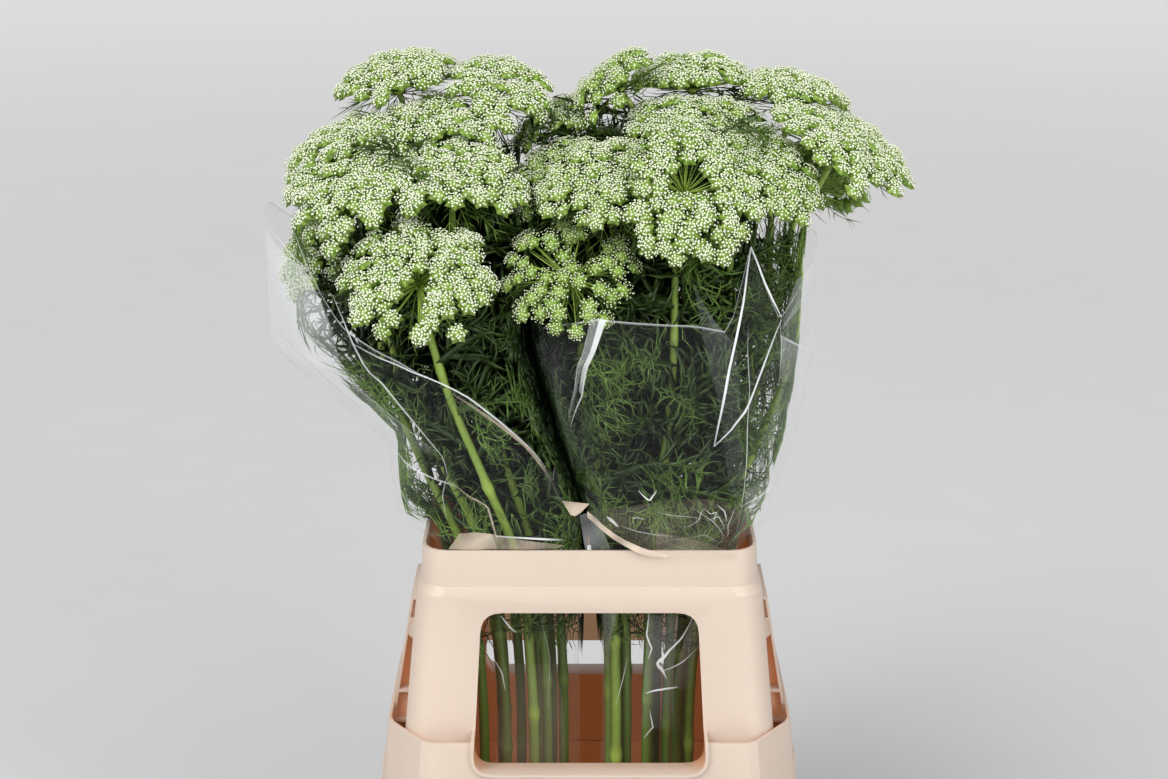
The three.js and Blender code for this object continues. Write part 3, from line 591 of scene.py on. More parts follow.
def ribbed_tube(line, radius, tint):
    """A tube along a line: radius (level, turn) and tint (level), closed by a point at each end."""
    levels, sides = radius.shape
    run = unit(np.gradient(line, axis=0))
    u = unit(np.cross(run, [0, 1, 0.01]))
    rings = turned(u, np.cross(run, u), even_turns(sides))
    points = np.concatenate([(line[:, None] + radius[..., None] * rings).reshape(-1, 3), line[:1], line[-1:]])
    index = np.arange(levels * sides).reshape(levels, sides)
    faces = [grid_faces(levels, sides), fan(index[0], levels * sides, root=True),
             fan(index[-1], levels * sides + 1)]
    return points, faces, np.concatenate([np.repeat(tint, sides), tint[:1], tint[-1:]])


def make_stalk(plant, random):
    """Ribs add 4% of the radius as cos(7 turn), and each joint adds a bell-shaped swelling
    JOINT_SWELL exp(-(way / JOINT_LENGTH)^2). Inside the collar stalks get painted shade, some more than others."""
    line = plant["line"]
    z = line[:, 2]
    along = lengths_along(line)
    ribs = 1 + RIB_HEIGHT * np.cos(np.pi * np.arange(2 * RIB_COUNT))
    from_joint = (along + random.uniform(0, JOINT_SPACING)) % JOINT_SPACING - JOINT_SPACING / 2
    swell = np.exp(-(from_joint / JOINT_LENGTH) ** 2) * (along < along[-1] - JOINT_FREE)
    radius = np.interp(z, *STALK_RADIUS)[:, None] * ribs + JOINT_SWELL * swell[:, None]
    radius[0] -= FOOT_ROUND
    shaded = 1 - smoothstep(z, *SHADED_Z)
    # Down in the collar a random share of painted shade darkens each stalk
    tint = 0.38 + 0.4 * swell + 0.3 * smoothstep(z, *LIGHTER_Z) - random.uniform(0.1, 0.75) * shaded
    return ribbed_tube(line, radius, tint)


# %% Hub, rays and bracts
HUB_RADIUS = 4.4
HUB_SIDES = 10
HUB_LEVELS = 8
RAY_RADII = 0.75 * np.array([1.2, 1, 0.95, 0.9, 0.5])
BRACTS = 13
BRACT_RADII = [0.7, 0.65, 0.6, 0.5, 0.4, 0.1]
TWIG_RADII = [0.5, 0.45, 0.1]


def make_hub(plant):
    """A knob under the rays: radius HUB_RADIUS * sqrt(1 - t^2) over its height, along the axis."""
    rise = np.linspace(-1, 1, HUB_LEVELS)
    line = plant["hub"] + plant["axis"] * (1.2 + 3.0 * rise[:, None])
    radius = HUB_RADIUS * np.sqrt(np.maximum(1 - rise ** 2, 0.02))[:, None] * np.ones(HUB_SIDES)
    return ribbed_tube(line, radius, np.full(HUB_LEVELS, 0.95))


def make_rays(plant, random):
    """Rays from the hub: each leaves outward and up, then bends into its small umbel from below."""
    ends = plant["umbellets"]
    start = plant["hub"] + plant["axis"] * 3 + 2.5 * unit(ends - plant["hub"])
    arm = ends - start
    bend = start + 0.55 * arm - 0.12 * np.linalg.norm(arm, axis=1)[:, None] * plant["umbellet_ways"]
    bend = bend + random.normal(0, 1.5, bend.shape)
    levels = len(RAY_RADII)
    return tubes(arcs(start, bend, ends, levels), RAY_RADII, np.linspace(0.85, 0.5, levels))


def make_bracts(plant, random):
    """A ruff of bracts below the hub, each with pairs of side threads that leave it at its middle levels."""
    axis = plant["axis"]
    turn = 2 * np.pi * (np.arange(BRACTS) + random.uniform(0, 0.6, BRACTS)) / BRACTS
    out = turned(*cross_axes(axis), turn)
    length = plant["radius"] * random.uniform(0.6, 0.92, BRACTS)[:, None]
    start = plant["hub"] + out * 2.5
    end = start + out * length + axis * length * random.uniform(-0.45, 0.12, (BRACTS, 1))
    main = arcs(start, start + out * length * 0.55 + axis * 4, end, len(BRACT_RADII))
    side = np.cross(out, axis)
    forks = [(level, sign) for level in (1, 2, 3, 4) for sign in (-1, 1)]
    fork_start = np.concatenate([main[:, level] for level, _ in forks])
    fork_way = np.concatenate([unit(out + 0.6 * sign * side - 0.15 * axis) for _, sign in forks])
    reach = random.uniform(12, 26, (len(fork_start), 1))
    fork_bend = fork_start + fork_way * reach * 0.5 + random.normal(0, 1.6, fork_start.shape)
    twigs = arcs(fork_start, fork_bend, fork_start + fork_way * reach, len(TWIG_RADII))
    return [tubes(main, BRACT_RADII, 0.12), tubes(twigs, TWIG_RADII, 0.1)]


def make_stem(plant):
    """Stalk, hub, rays and bracts of one plant, as one green piece."""
    random = np.random.default_rng(plant["number"] * 17 + 3)
    parts = [make_stalk(plant, random), make_hub(plant), make_rays(plant, random), *make_bracts(plant, random)]
    return make_piece(f"stem_green_{plant['name']}", parts, stalk_green, "green", [f"stem_{plant['name']}"])


stems = [make_stem(plant) for plant in plants]
print("stems:", len(stems), "with", triangle_count(*stems), "triangles")


# %% [markdown]
# ## Sleeve form
# Each bunch stands in a sleeve of clear film. It is straight in the collar, bulges over the rim and opens
# like a bag. Its level outline is a rounded box, whose size changes with height. The leaves press against
# it, so its form is needed before they are made.

# %% Sleeve outline
SLEEVE_Z = [150, 370, 460, 500, 516, 594, 680, 820]
SQUARENESS = [3, 3, 3, 3, 3, 2.6, 2.4, 2.4]
SOFT_EDGE = 0.06
# At each height: middle x, half width along X and half width along Y. The middle y is 0
SLEEVE_FORM = {
    "left": [[-62, -64, -72, -76.4, -90, -113, -172, -184], [54, 54, 65, 72.2, 86, 79, 114, 107],
             [62, 64, 84, 94, 104, 118, 142, 160]],
    "right": [[64, 66, 72, 76.4, 83, 80, 74, 82], [54, 54, 65, 72.2, 84, 109, 127, 124],
              [62, 64, 84, 94, 104, 122, 146, 152]],
}


def sleeve_row(bunch, z):
    """Middle x, half widths and squareness of a sleeve at heights z."""
    return [np.interp(z, SLEEVE_Z, row) for row in (*SLEEVE_FORM[bunch], SQUARENESS)]


def into_sleeve(points, bunch, margin):
    """Draws points in towards the sleeve's middle line until they are inside it by a margin. The reach
    (|x / a|^q + |y / b|^q)^(1 / q) is 1 on the film, and points past it settle in its soft edge."""
    x, half_x, half_y, square = sleeve_row(bunch, points[..., 2])
    across = (np.abs(points[..., 0] - x) / (half_x - margin)) ** square
    reach = (across + (np.abs(points[..., 1]) / (half_y - margin)) ** square) ** (1 / square)
    share = np.minimum(1, (1 - SOFT_EDGE * np.exp(-np.maximum(reach - 1, 0))) / np.maximum(reach, 1e-6))
    share = np.where(reach > 1 - SOFT_EDGE, share, 1)
    middle = np.stack([x, np.zeros_like(x), points[..., 2]], -1)
    return middle + (points - middle) * share[..., None]


# %% [markdown]
# ## Leaves
# Khella leaves are cut into threads like dill: a thin midrib, with pairs of side ribs that fork into soft
# needles. Each leaf is worked out for all its joints, sides and forks at once, as arrays of short arcs.
# The leaves fill the sleeves from the collar up to the flowers.

# %% Leaves
LEAVES_EACH = 16
LEAF_LENGTH = (80, 135)
LEAF_JOINTS = 8
LEAF_LOW_Z = 392
LEAF_HIGH_Z = 835
LEAF_TOP_Z = 898
# Plants with hubs over this have no leaves on the lowest TALL_LIFT mm
TALL_HUB_Z = (850, 885)
TALL_LIFT = 170
LEAF_MARGIN = 3
OUTER_MARGIN = {"left": 14, "right": 2}
OUTER_Z = (530, 620)
UNDER_MARGIN = 50
UNDER_Z = (795, 850)
# How far leaves reach past the film at the gap, low down and up at the heads
PAST_FILM = (7, 22)
PAST_FILM_Z = (670, 750)
GAP_X = -45
# Painted shade deep in the bunch: how much thicker the dark threads grow, the z where this begins, where it weakens
# at the crown, and where the shade lightens under light from above
SHADE_SWELL = 3.9
SHADE_SWELL_Z = (440, 500)
CROWN_Z = (770, 840)
LIT_Z = (660, 800)
NEEDLE_PLACES = np.array([1, 1, 2, 2, 3])
NEEDLE_SIGNS = np.array([-1, 1, -1, 1, -1])
CEILING_SOFT = 30
RIB_LENGTH = (30, 52)
RIB_LEVELS = 4
NEEDLE_LENGTH = (18, 35)
NEEDLE_LEVELS = 3
# Stalks in plain view: plant number, and the lowest and highest z between which threads before it are left out
OPEN_STALKS = {"left": [(7, 478, 760), (6, 440, 545), (8, 440, 600)], "right": [(17, 640, 800)]}
LANE_WIDTH = 6.5
LANE_SHARE = 0.1
# Radius at root and tip, and lightness, of midribs, side ribs and needles
THREADS = [(1.1, 0.5, 0.95), (0.75, 0.4, 1.1), (0.62, 0.28, 1.15)]


def leaf_roots(plant, random):
    """Places up the stalk, and directions that turn by the golden angle and rise at 5 to 60 degrees. A sine
    draws the turns towards the other bunch beside the gap, which the leaves fill, and away from it farther
    out. The tallest plants have no low leaves."""
    hub_z, line = plant["hub"][2], plant["line"]
    low = LEAF_LOW_Z + TALL_LIFT * smoothstep(hub_z, *TALL_HUB_Z)
    heights = np.linspace(low, min(hub_z - 55, LEAF_HIGH_Z), LEAVES_EACH) + random.uniform(-12, 12, LEAVES_EACH)
    roots = np.stack([np.interp(heights, line[:, 2], column) for column in line.T], -1)
    turn = np.arange(LEAVES_EACH) * GOLDEN_ANGLE + random.uniform(0, 6)
    pull = 0.95 - 1.45 * smoothstep(abs(plant["middle"][0] - GAP_X), 50, 250)
    turn = turn - pull * BUNCHES[plant["bunch"]]["inner"] * np.sin(turn)
    rise = np.radians(random.uniform(5, 60, LEAVES_EACH))
    return roots, np.stack([np.cos(turn) * np.cos(rise), np.sin(turn) * np.cos(rise), np.sin(rise)], -1)


def settle(points, plant):
    """Presses leaf points under a soft ceiling and keeps them inside the sleeve. The margin to the film grows
    at the outside and behind under the top heads, and beside the gap the leaves reach past the film."""
    bunch = plant["bunch"]
    over = np.maximum(points[..., 2:] - min(plant["hub"][2] + 5, LEAF_TOP_Z) + CEILING_SOFT, 0)
    lowered = points - [0, 0, 1] * (over - CEILING_SOFT * (1 - np.exp(-over / CEILING_SOFT)))
    z = lowered[..., 2]
    x, half_x, half_y, _ = sleeve_row(bunch, z)
    inward = (lowered[..., 0] - x) / half_x * BUNCHES[bunch]["inner"]
    outer = smoothstep(-inward, 0.3, 0.9)
    back = smoothstep(lowered[..., 1] / half_y, 0.2, 0.7)
    past = smoothstep(inward, 0.2, 0.9) * (PAST_FILM[0] + np.diff(PAST_FILM) * smoothstep(z, *PAST_FILM_Z))
    loose = OUTER_MARGIN[bunch] * smoothstep(z, *OUTER_Z) * outer
    under = UNDER_MARGIN * smoothstep(z, *UNDER_Z) * np.maximum(outer, back)
    return into_sleeve(lowered, bunch, LEAF_MARGIN - past + loose + under)


def before_stalk(points, bunch):
    """Whether points stand in front of a stalk in plain view. A line of sight through a point at z runs
    back and down by (camera z - z) / (camera distance) on its way to the stalk."""
    x, y, z = np.moveaxis(points, -1, 0)
    hidden = np.zeros(z.shape, bool)
    for number, low, high in OPEN_STALKS[bunch]:
        line = plants[number - 1]["line"]
        behind = np.interp(z, line[:, 2], line[:, 1]) - y
        seen_z = z - behind * (CAMERA_AT[2] - z) / -CAMERA_AT[1]
        off = x * (1 - behind / CAMERA_AT[1]) - np.interp(seen_z, line[:, 2], line[:, 0])
        hidden |= (behind > 3) & (np.abs(off) < LANE_WIDTH) & (seen_z > low) & (seen_z < high)
    return hidden


def shade_depth(points, bunch):
    """How deep a point lies in the foliage: 0 against the film, 1 in the heart of the bunch. Where the two
    bunches press against each other little light comes in, so there the way across counts a quarter."""
    x, half_x, half_y, square = sleeve_row(bunch, points[..., 2])
    away = (points[..., 0] - x) / half_x * BUNCHES[bunch]["inner"]
    across = np.where(away > 0, 0.25 * away, -away) ** square + (np.abs(points[..., 1]) / half_y) ** square
    return 1 - smoothstep(across ** (1 / square), 0.45, 0.95)


def leaf_curves(plant, random):
    """Midribs are arcs that rise and then bend over. From joint j a side rib leaves to each side, and bent
    needles leave each side rib, so the needles are an array of leaf x joint x side x needle."""
    roots, ways = leaf_roots(plant, random)
    length = random.uniform(*LEAF_LENGTH, (LEAVES_EACH, 1))
    flat = unit(ways * [1, 1, 0])
    ends = roots + ways * length + flat * length * 0.2 - [0, 0, 1] * length * random.uniform(0, 0.5, length.shape)
    midribs = arcs(roots, roots + ways * length * 0.6, ends, LEAF_JOINTS + 1)
    run = unit(np.gradient(midribs, axis=1))[:, 1:]
    side, over = cross_axes(run)
    run, side, over = (way[:, :, None] for way in (run, side, over))
    twist = random.uniform(-0.9, 0.9, (LEAVES_EACH, LEAF_JOINTS, 2, 1))
    off = side * np.array([[-1], [1]]) * np.cos(twist) + over * np.sin(twist)
    rib_way = unit(run * 0.8 + off + random.normal(0, 0.15, off.shape))
    taper = np.linspace(1.1, 0.5, LEAF_JOINTS)[:, None, None]
    rib_length = random.uniform(*RIB_LENGTH, rib_way.shape[:3])[..., None] * taper
    rib_start = np.broadcast_to(midribs[:, 1:, None], rib_way.shape)
    rib_end = rib_start + rib_way * rib_length + random.normal(0, 4, rib_way.shape)
    rib_bend = rib_start + rib_way * rib_length * 0.5 + over * random.normal(0, 5, rib_length.shape)
    ribs = arcs(rib_start, rib_bend, rib_end, RIB_LEVELS)
    fork_side = unit(np.cross(rib_way, run))[..., None, :]
    rib_way = rib_way[..., None, :]
    start = ribs[..., NEEDLE_PLACES, :]
    start = start - rib_way * random.uniform(0, 7, (*start.shape[:-1], 1))
    fork_way = unit(rib_way + 0.7 * NEEDLE_SIGNS[:, None] * fork_side + random.normal(0, 0.35, start.shape))
    reach = random.uniform(*NEEDLE_LENGTH, start.shape[:-1])[..., None]
    bend = start + 0.5 * reach * unit(fork_way + random.normal(0, 0.45, start.shape))
    return midribs, ribs, arcs(start, bend, start + fork_way * reach, NEEDLE_LEVELS)


def make_leaves(plant):
    """The leaves of one plant. Deep in the bunch each thread gets painted shade and is up to 1 + SHADE_SWELL times
    as thick, so that it stands for a tuft of them lying in shade. Of the threads before a stalk in plain view,
    LANE_SHARE stay."""
    random = np.random.default_rng(plant["number"] * 71 + 29)
    sets = leaf_curves(plant, random)
    shade = random.uniform(0.25, 1.0, LEAVES_EACH)
    parts = []
    for curves, (thick, thin, light) in zip(sets, THREADS):
        curves = settle(curves.reshape(-1, *curves.shape[-2:]), plant)
        tint = light * np.repeat(shade, len(curves) // LEAVES_EACH) * random.uniform(0.75, 1.15, len(curves))
        kept = ~before_stalk(curves, plant["bunch"]).any(axis=1) | (random.uniform(0, 1, len(curves)) < LANE_SHARE)
        curves, tint = curves[kept], tint[kept]
        depth, z = shade_depth(curves, plant["bunch"]), curves[..., 2]
        crown = smoothstep(z, *CROWN_Z)
        shade_swell = SHADE_SWELL * smoothstep(depth, 0.42, 1) * smoothstep(z, *SHADE_SWELL_Z) * (1 - 0.8 * crown)
        # Deep threads are darkened as painted shade, half as much up where light comes in from above
        tint = tint[:, None] * (1 - 0.9 * depth * (1 - 0.5 * smoothstep(z, *LIT_Z)))
        parts.append(tubes(curves, np.linspace(thick, thin, z.shape[1]) * (1 + shade_swell), np.clip(tint, 0, 1)))
    return make_piece(f"leaves_{plant['name']}", parts, leaf_green, "green", [f"stem_{plant['name']}"])


leaves = [make_leaves(plant) for plant in plants]
print("leaves:", len(leaves), "with", triangle_count(*leaves), "triangles")


# %% [markdown]
# ## Film
# Clear film shows by its gloss: painted highlights along creases, a grey haze where it is seen edge on, and
# almost nothing in between. The material is a thin see-through skin with a low alpha that grows towards
# grazing angles and with the tint. A tint below 0 is a painted reflection of the collar in a fold.

# %% Film material
film, tree, shader, place = new_material("film")
tint = tint_of(tree)
facing = add_node(tree, "LayerWeight", Blend=0.3).outputs["Facing"]
haze = calc(tree, "MULTIPLY_ADD", calc(tree, "POWER", facing, 2.2), 0.2, 0.012)
# The alpha is the larger of the haze and the tint, which carries the painted highlights, sheens and collar
# reflections
veil = calc(tree, "MAXIMUM", haze, calc(tree, "ABSOLUTE", tint), clamp=True)
cloud = use_group(tree, mottle, place, Coarse=14.0, Fine=90.0)
clear_tone = ramp(tree, cloud, (0.3, colour(222, 228, 230)), (0.9, colour(250, 252, 252)))
# Where the tint is below 0 the film takes a painted reflection of the collar
collar_reflection_tone = ramp(tree, cloud, (0.3, colour(150, 132, 112)), (0.9, colour(226, 208, 188)))
feed(tree, shader, Alpha=veil, IOR=1.5, Roughness=calc(tree, "MULTIPLY_ADD", cloud, 0.12, 0.04),
     Base_Color=mix(tree, calc(tree, "LESS_THAN", tint, 0.0), clear_tone, collar_reflection_tone))
print("film:", film.name)

# %% Sleeves
SLEEVE_FOOT_Z = 150
SLEEVE_TURNS = 132
SLEEVE_SHARES = np.concatenate([np.linspace(0, 0.36, 14)[:-1], np.linspace(0.36, 0.996, 61), [1]])
# The row along the upper edge carries a painted highlight of this strength
EDGE_HIGHLIGHT = 0.45
FOLD_TURN_MM = 110
# Directions (radians) and lengths (mm) of the triangle waves that crumple the film
CRUMPLES = [(0.3, 61), (1.1, 47), (1.9, 71), (2.5, 39), (2.9, 55)]
# Height of a wave over the rim and in the collar, and the z between which it grows, weakens and ends
RIM_WAVE, COLLAR_WAVE = 1.9, 1.2
RIM_Z, CALM_Z, COLLAR_Z = (505, 530), (560, 690), (430, 480)
LINE_STEPS = 20
LINE_PROUD = 0.7
VEIL_COLUMNS = 10
VEIL_ROWS = 24
VEIL_PROUD = 0.35
# Upper edge: turn (degrees from +X) and height
SLEEVE_EDGE = {
    "left": [(0, 600), (45, 660), (90, 705), (135, 750), (180, 800), (205, 800), (222, 788), (240, 768), (255, 722),
             (283, 670), (293, 652), (324, 560), (345, 578)],
    "right": [(0, 775), (45, 735), (90, 710), (135, 690), (180, 680), (212, 706), (242, 724), (272, 722),
              (285, 716), (292, 790), (300, 756), (309, 721), (330, 752)],
}
# Folds that stand proud: turn and height of their two ends, how proud, and how wide the slopes beside them are
FOLDS = {
    "left": [(253, 748, 263, 578, 6, 24), (224, 599, 265, 569, 4, 16), (260, 705, 291, 655, 5, 18),
             (291, 655, 323, 558, 6, 18), (234, 692, 251, 560, 5, 26), (195, 766, 205, 540, 5, 30),
             (313, 600, 318, 515, 4, 16)],
    "right": [(292, 789, 278, 608, 7, 22), (309, 721, 278, 608, 6, 20), (242, 724, 200, 575, 6, 26),
              (293, 716, 296, 512, 3, 10), (358, 766, 350, 565, 5, 26), (270, 751, 279, 520, 4, 18),
              (330, 700, 320, 520, 5, 24), (255, 600, 262, 520, 3, 16)],
}
# Painted highlights along creases: half width in mm, how white, then turn and height of each point.
# Below 0 is a painted reflection of the collar
REFLECTION_LINES = {
    "left": [
        (0.7, 0.5, 253, 748, 265, 671, 263, 578), (0.8, 0.7, 260, 705, 283, 670, 291, 655, 323, 558),
        (2.0, -0.45, 286, 657, 307, 604, 322, 550), (0.6, 0.3, 234, 692, 251, 672, 262, 600),
        (0.7, 0.6, 196, 600, 230, 592, 265, 569), (0.8, 0.5, 224, 599, 250, 580, 266, 566),
        (0.6, -0.5, 265, 569, 272, 545, 271, 513), (0.5, 0.35, 263, 578, 257, 556, 255, 532),
        (1.2, 0.95, 271, 516, 290, 511, 309, 505), (0.6, 0.3, 318, 620, 336, 618, 338, 560),
        (0.8, 0.3, 235, 799, 240, 772, 246, 752), (0.8, 0.4, 180, 799, 200, 790, 225, 760),
        (0.8, 0.45, 180, 692, 184, 640, 187, 594), (0.8, 0.45, 239, 526, 215, 552, 197, 578),
        (1.0, 0.6, 330, 425, 348, 385, 352, 362, 343, 330), (0.8, 0.8, 265, 430, 268, 420, 270, 412),
        (0.9, 0.75, 253, 384, 260, 366, 262, 350), (0.6, 0.3, 285, 420, 292, 380, 288, 330)],
    "right": [
        (1.0, 0.95, 292, 789, 290, 742, 286, 680, 280, 608), (0.9, 0.9, 292, 789, 300, 756, 310, 721),
        (1.2, 0.95, 310, 720, 303, 690, 298, 663, 293, 640, 287, 621, 280, 608),
        (0.45, 0.6, 293, 716, 295, 620, 296, 515), (0.5, 0.5, 309, 721, 313, 690, 314, 658),
        (0.6, 0.6, 245, 724, 241, 694, 232, 649, 219, 614), (0.5, 0.3, 238, 724, 236, 692, 229, 654, 219, 620),
        (0.9, 0.5, 310, 705, 325, 690, 345, 670), (0.7, 0.75, 350, 565, 320, 552, 295, 545),
        (1.0, 0.9, 350, 560, 335, 535, 326, 512), (0.6, 0.6, 345, 572, 318, 556, 297, 538),
        (0.9, 0.45, 358, 766, 352, 700, 347, 668), (0.9, 0.45, 347, 668, 352, 615, 350, 565),
        (4.0, 0.22, 358, 766, 330, 735, 311, 712), (0.7, 0.8, 255, 563, 258, 556, 260, 553, 263, 563),
        (0.4, 0.3, 262, 541, 268, 537, 276, 534), (0.5, 0.5, 276, 545, 279, 539, 282, 541, 280, 530),
        (0.5, 0.45, 278, 533, 283, 536, 287, 524), (0.4, 0.3, 270, 524, 274, 532, 276, 545),
        (0.7, 0.55, 282, 548, 286, 541, 288, 530), (0.5, 0.5, 292, 545, 289, 526, 291, 508),
        (0.4, 0.35, 272, 545, 282, 528, 290, 508), (2.2, 0.85, 230, 530, 234, 527, 238, 522),
        (0.5, 0.3, 238, 524, 252, 519, 268, 516), (0.5, 0.4, 248, 532, 252, 534, 257, 532),
        (0.4, 0.25, 262, 506, 276, 518, 290, 505), (0.9, 0.4, 205, 440, 212, 405, 208, 370),
        (0.9, 0.85, 263, 432, 262, 408, 266, 394, 264, 382),
        (1.1, 0.9, 286, 430, 279, 406, 272, 392, 269, 378, 272, 362), (0.9, 0.85, 298, 394, 284, 380, 270, 370),
        (0.9, 0.8, 263, 347, 272, 352, 280, 353), (0.8, 0.5, 246, 382, 238, 356, 228, 328),
        (0.7, 0.6, 266, 330, 268, 312, 262, 300)],
}
# Grey veils, where the film lies double, with painted sheen where light falls on it, and below 0 a painted
# reflection of the collar: how white, then turn and height along one long side and the other
SHEEN_VEILS = {
    "left": [
        (0.32, 192, 796, 196, 745, 205, 700, 238, 769, 246, 742, 252, 712),
        (0.16, 190, 745, 190, 680, 200, 640, 226, 600, 246, 742, 252, 703, 256, 642, 262, 600),
        (0.3, 338, 430, 348, 400, 352, 372, 356, 430, 358, 400, 358, 372),
        (-0.12, 250, 250, 256, 340, 248, 380, 312, 250, 306, 340, 300, 375)],
    "right": [
        (0.035, 272, 763, 276, 717, 282, 652, 286, 582, 300, 500, 280, 715, 289, 702, 292, 610, 299, 549, 312, 500),
        (0.07, 312, 714, 316, 656, 307, 617, 297, 575, 297, 540, 341, 760, 350, 707, 351, 660, 345, 610, 326, 579),
        (0.16, 312, 705, 313, 681, 316, 656, 313, 704, 328, 688, 345, 670),
        (0.25, 355, 762, 320, 751, 311, 719, 350, 764, 329, 742, 313, 711),
        (0.2, 238, 724, 236, 692, 229, 654, 219, 620, 244, 724, 239, 694, 230, 654, 219, 616),
        (0.75, 242, 724, 239, 694, 231, 654, 245, 724, 241, 694, 232, 649),
        (0.1, 296, 560, 300, 540, 297, 515, 340, 575, 335, 545, 326, 520),
        (0.2, 204, 420, 206, 390, 206, 359, 232, 427, 222, 396, 217, 364),
        (0.09, 262, 430, 262, 380, 260, 310, 275, 430, 276, 380, 278, 310),
        (0.12, 283, 427, 280, 390, 276, 350, 300, 425, 298, 390, 296, 350)],
}


def laid_flat(places):
    """Turns in degrees and heights, as points in mm on the film laid out flat."""
    turn, z = np.reshape(places, (-1, 2)).T
    return np.stack([np.radians(turn) * FOLD_TURN_MM, z], -1)


def tent(x):
    """A triangle wave from 0 to 1 with sharp crests, which makes flat facets."""
    return np.abs((x % 2) - 1)


def film_depth(bunch, flat):
    """How far the film stands out of its plain form: crumples are triangle waves in five directions, strong
    over the rim and inside the collar, and each fold is a tent over its line."""
    around, z = flat[..., 0], flat[..., 1]
    crumple = sum(tent((around * math.cos(angle) + z * math.sin(angle)) / wave + 0.37 * k)
                  for k, (angle, wave) in enumerate(CRUMPLES))
    rim = RIM_WAVE * smoothstep(z, *RIM_Z) * (1 - 0.65 * smoothstep(z, *CALM_Z))
    depth = (crumple - len(CRUMPLES) / 2) * (rim + COLLAR_WAVE * (1 - smoothstep(z, *COLLAR_Z)))
    for *ends, proud, wide in FOLDS[bunch]:
        a, b = laid_flat(ends)
        along = np.clip(((flat - a) @ (b - a)) / ((b - a) @ (b - a)), 0, 1)
        off = np.linalg.norm(flat - a - along[..., None] * (b - a), axis=-1)
        depth = depth + proud * np.maximum(1 - off / wide, 0) * np.sin(np.pi * np.clip(along, 0.12, 0.88))
    return depth


def film_points(bunch, flat, proud=0.0):
    """Points of a sleeve at flat places, proud of the film by a distance. Its outline is a cos^(2 / q) and
    b sin^(2 / q), with half widths a and b and squareness q."""
    x, half_x, half_y, square = sleeve_row(bunch, flat[..., 1])
    cos, sin = np.cos(flat[..., 0] / FOLD_TURN_MM), np.sin(flat[..., 0] / FOLD_TURN_MM)
    depth = film_depth(bunch, flat) + proud
    return np.stack([x + half_x * np.sign(cos) * np.abs(cos) ** (2 / square) + depth * cos,
                     half_y * np.sign(sin) * np.abs(sin) ** (2 / square) + depth * sin, flat[..., 1]], -1)


def film_patch(bunch, a, b, columns, proud, tint):
    """A patch of film between two flat lines: (1 - t) A + t B, row by row."""
    t = np.linspace(0, 1, columns)[:, None]
    return grid_part(film_points(bunch, a[:, None] * (1 - t) + b[:, None] * t, proud), tint[:, None])


def reflection_line(bunch, half_width, strength, *places):
    """A thin ribbon of painted highlight on the film along straight pieces, which narrows and fades towards both of
    its ends. With a strength below 0 it is a painted reflection of the collar.
    """
    middle = straight_line(laid_flat(places), LINE_STEPS)
    run = unit(np.gradient(middle, axis=0))
    swell = np.sqrt(np.sin(np.pi * np.linspace(0.06, 0.94, LINE_STEPS)))
    across = np.stack([-run[:, 1], run[:, 0]], -1) * (half_width * swell)[:, None]
    return film_patch(bunch, middle - across, middle + across, 2, LINE_PROUD, strength * swell)


def sheen_veil(bunch, strength, *places):
    """A patch of haze and painted sheen between two lines along straight pieces, which fades towards their last
    ends.
    """
    fade = strength * (1 - 0.75 * np.linspace(0, 1, VEIL_ROWS) ** 2)
    lines = (straight_line(side, VEIL_ROWS) for side in np.split(laid_flat(places), 2))
    return film_patch(bunch, *lines, VEIL_COLUMNS, VEIL_PROUD, fade)


def make_sleeve(bunch):
    """The film on a grid of turns and shares of its height, one layer thick, with its painted highlights and sheens.
    """
    turn, share = np.meshgrid(even_turns(SLEEVE_TURNS), SLEEVE_SHARES)
    edge_turn, edge_z = np.transpose(SLEEVE_EDGE[bunch])
    edge = np.interp(np.degrees(turn) % 360, edge_turn, edge_z, period=360)
    z = SLEEVE_FOOT_Z + (edge - SLEEVE_FOOT_Z) * share
    tint = np.zeros(turn.shape)
    tint[-1] = EDGE_HIGHLIGHT
    parts = [grid_part(film_points(bunch, np.stack([turn * FOLD_TURN_MM, z], -1)), tint, closed=True)]
    parts += [reflection_line(bunch, *line) for line in REFLECTION_LINES[bunch]]
    parts += [sheen_veil(bunch, *veil) for veil in SHEEN_VEILS[bunch]]
    parts += [folded_flap(*flap) for flap in FLAPS[bunch]]
    piece = make_piece(f"film_{bunch}", parts, film, "film", [f"sleeve_{bunch}"], smooth=False)
    return piece


# %% Flaps over the rim
FLAP_COLUMNS = 40
FLAP_ROWS = 9
# A flap: its distance from the middle along Y, its tint, then x and z along its upper and its lower line.
# A tint below 0 is a painted reflection of the collar
FLAPS = {
    "left": [
        (-96.5, -0.6, -117, 516, -103, 517, -88, 515, -127, 501, -104, 500.5, -83, 501),
        (-96.5, -0.35, -88, 515, -55, 509, -22, 504, -83, 501, -55, 501, -30, 501)],
    "right": [
        (-98, -0.75, -25, 547, -12, 546, 0, 545, -17, 534, -13, 533, -8, 536),
        (-93, 0.15, -9, 532, 0, 534, 9, 527, -4, 500, 6, 499.5, 19, 499.5),
        (-103.5, -0.06, -2, 540, 30, 543, 81, 551, 108, 550, 134, 545, -2, 534, 26, 512, 54, 497, 99, 495, 134, 495),
        (-104.5, -0.8, -2, 540, 12, 527, 28, 515, 50, 504, 70, 499, -2, 534, 12, 521, 28, 509, 50, 498, 70, 496),
        (-104.2, -0.1, 60, 520, 84, 515, 108, 508, 134, 500, 60, 498, 84, 496, 108, 495, 134, 494)],
}


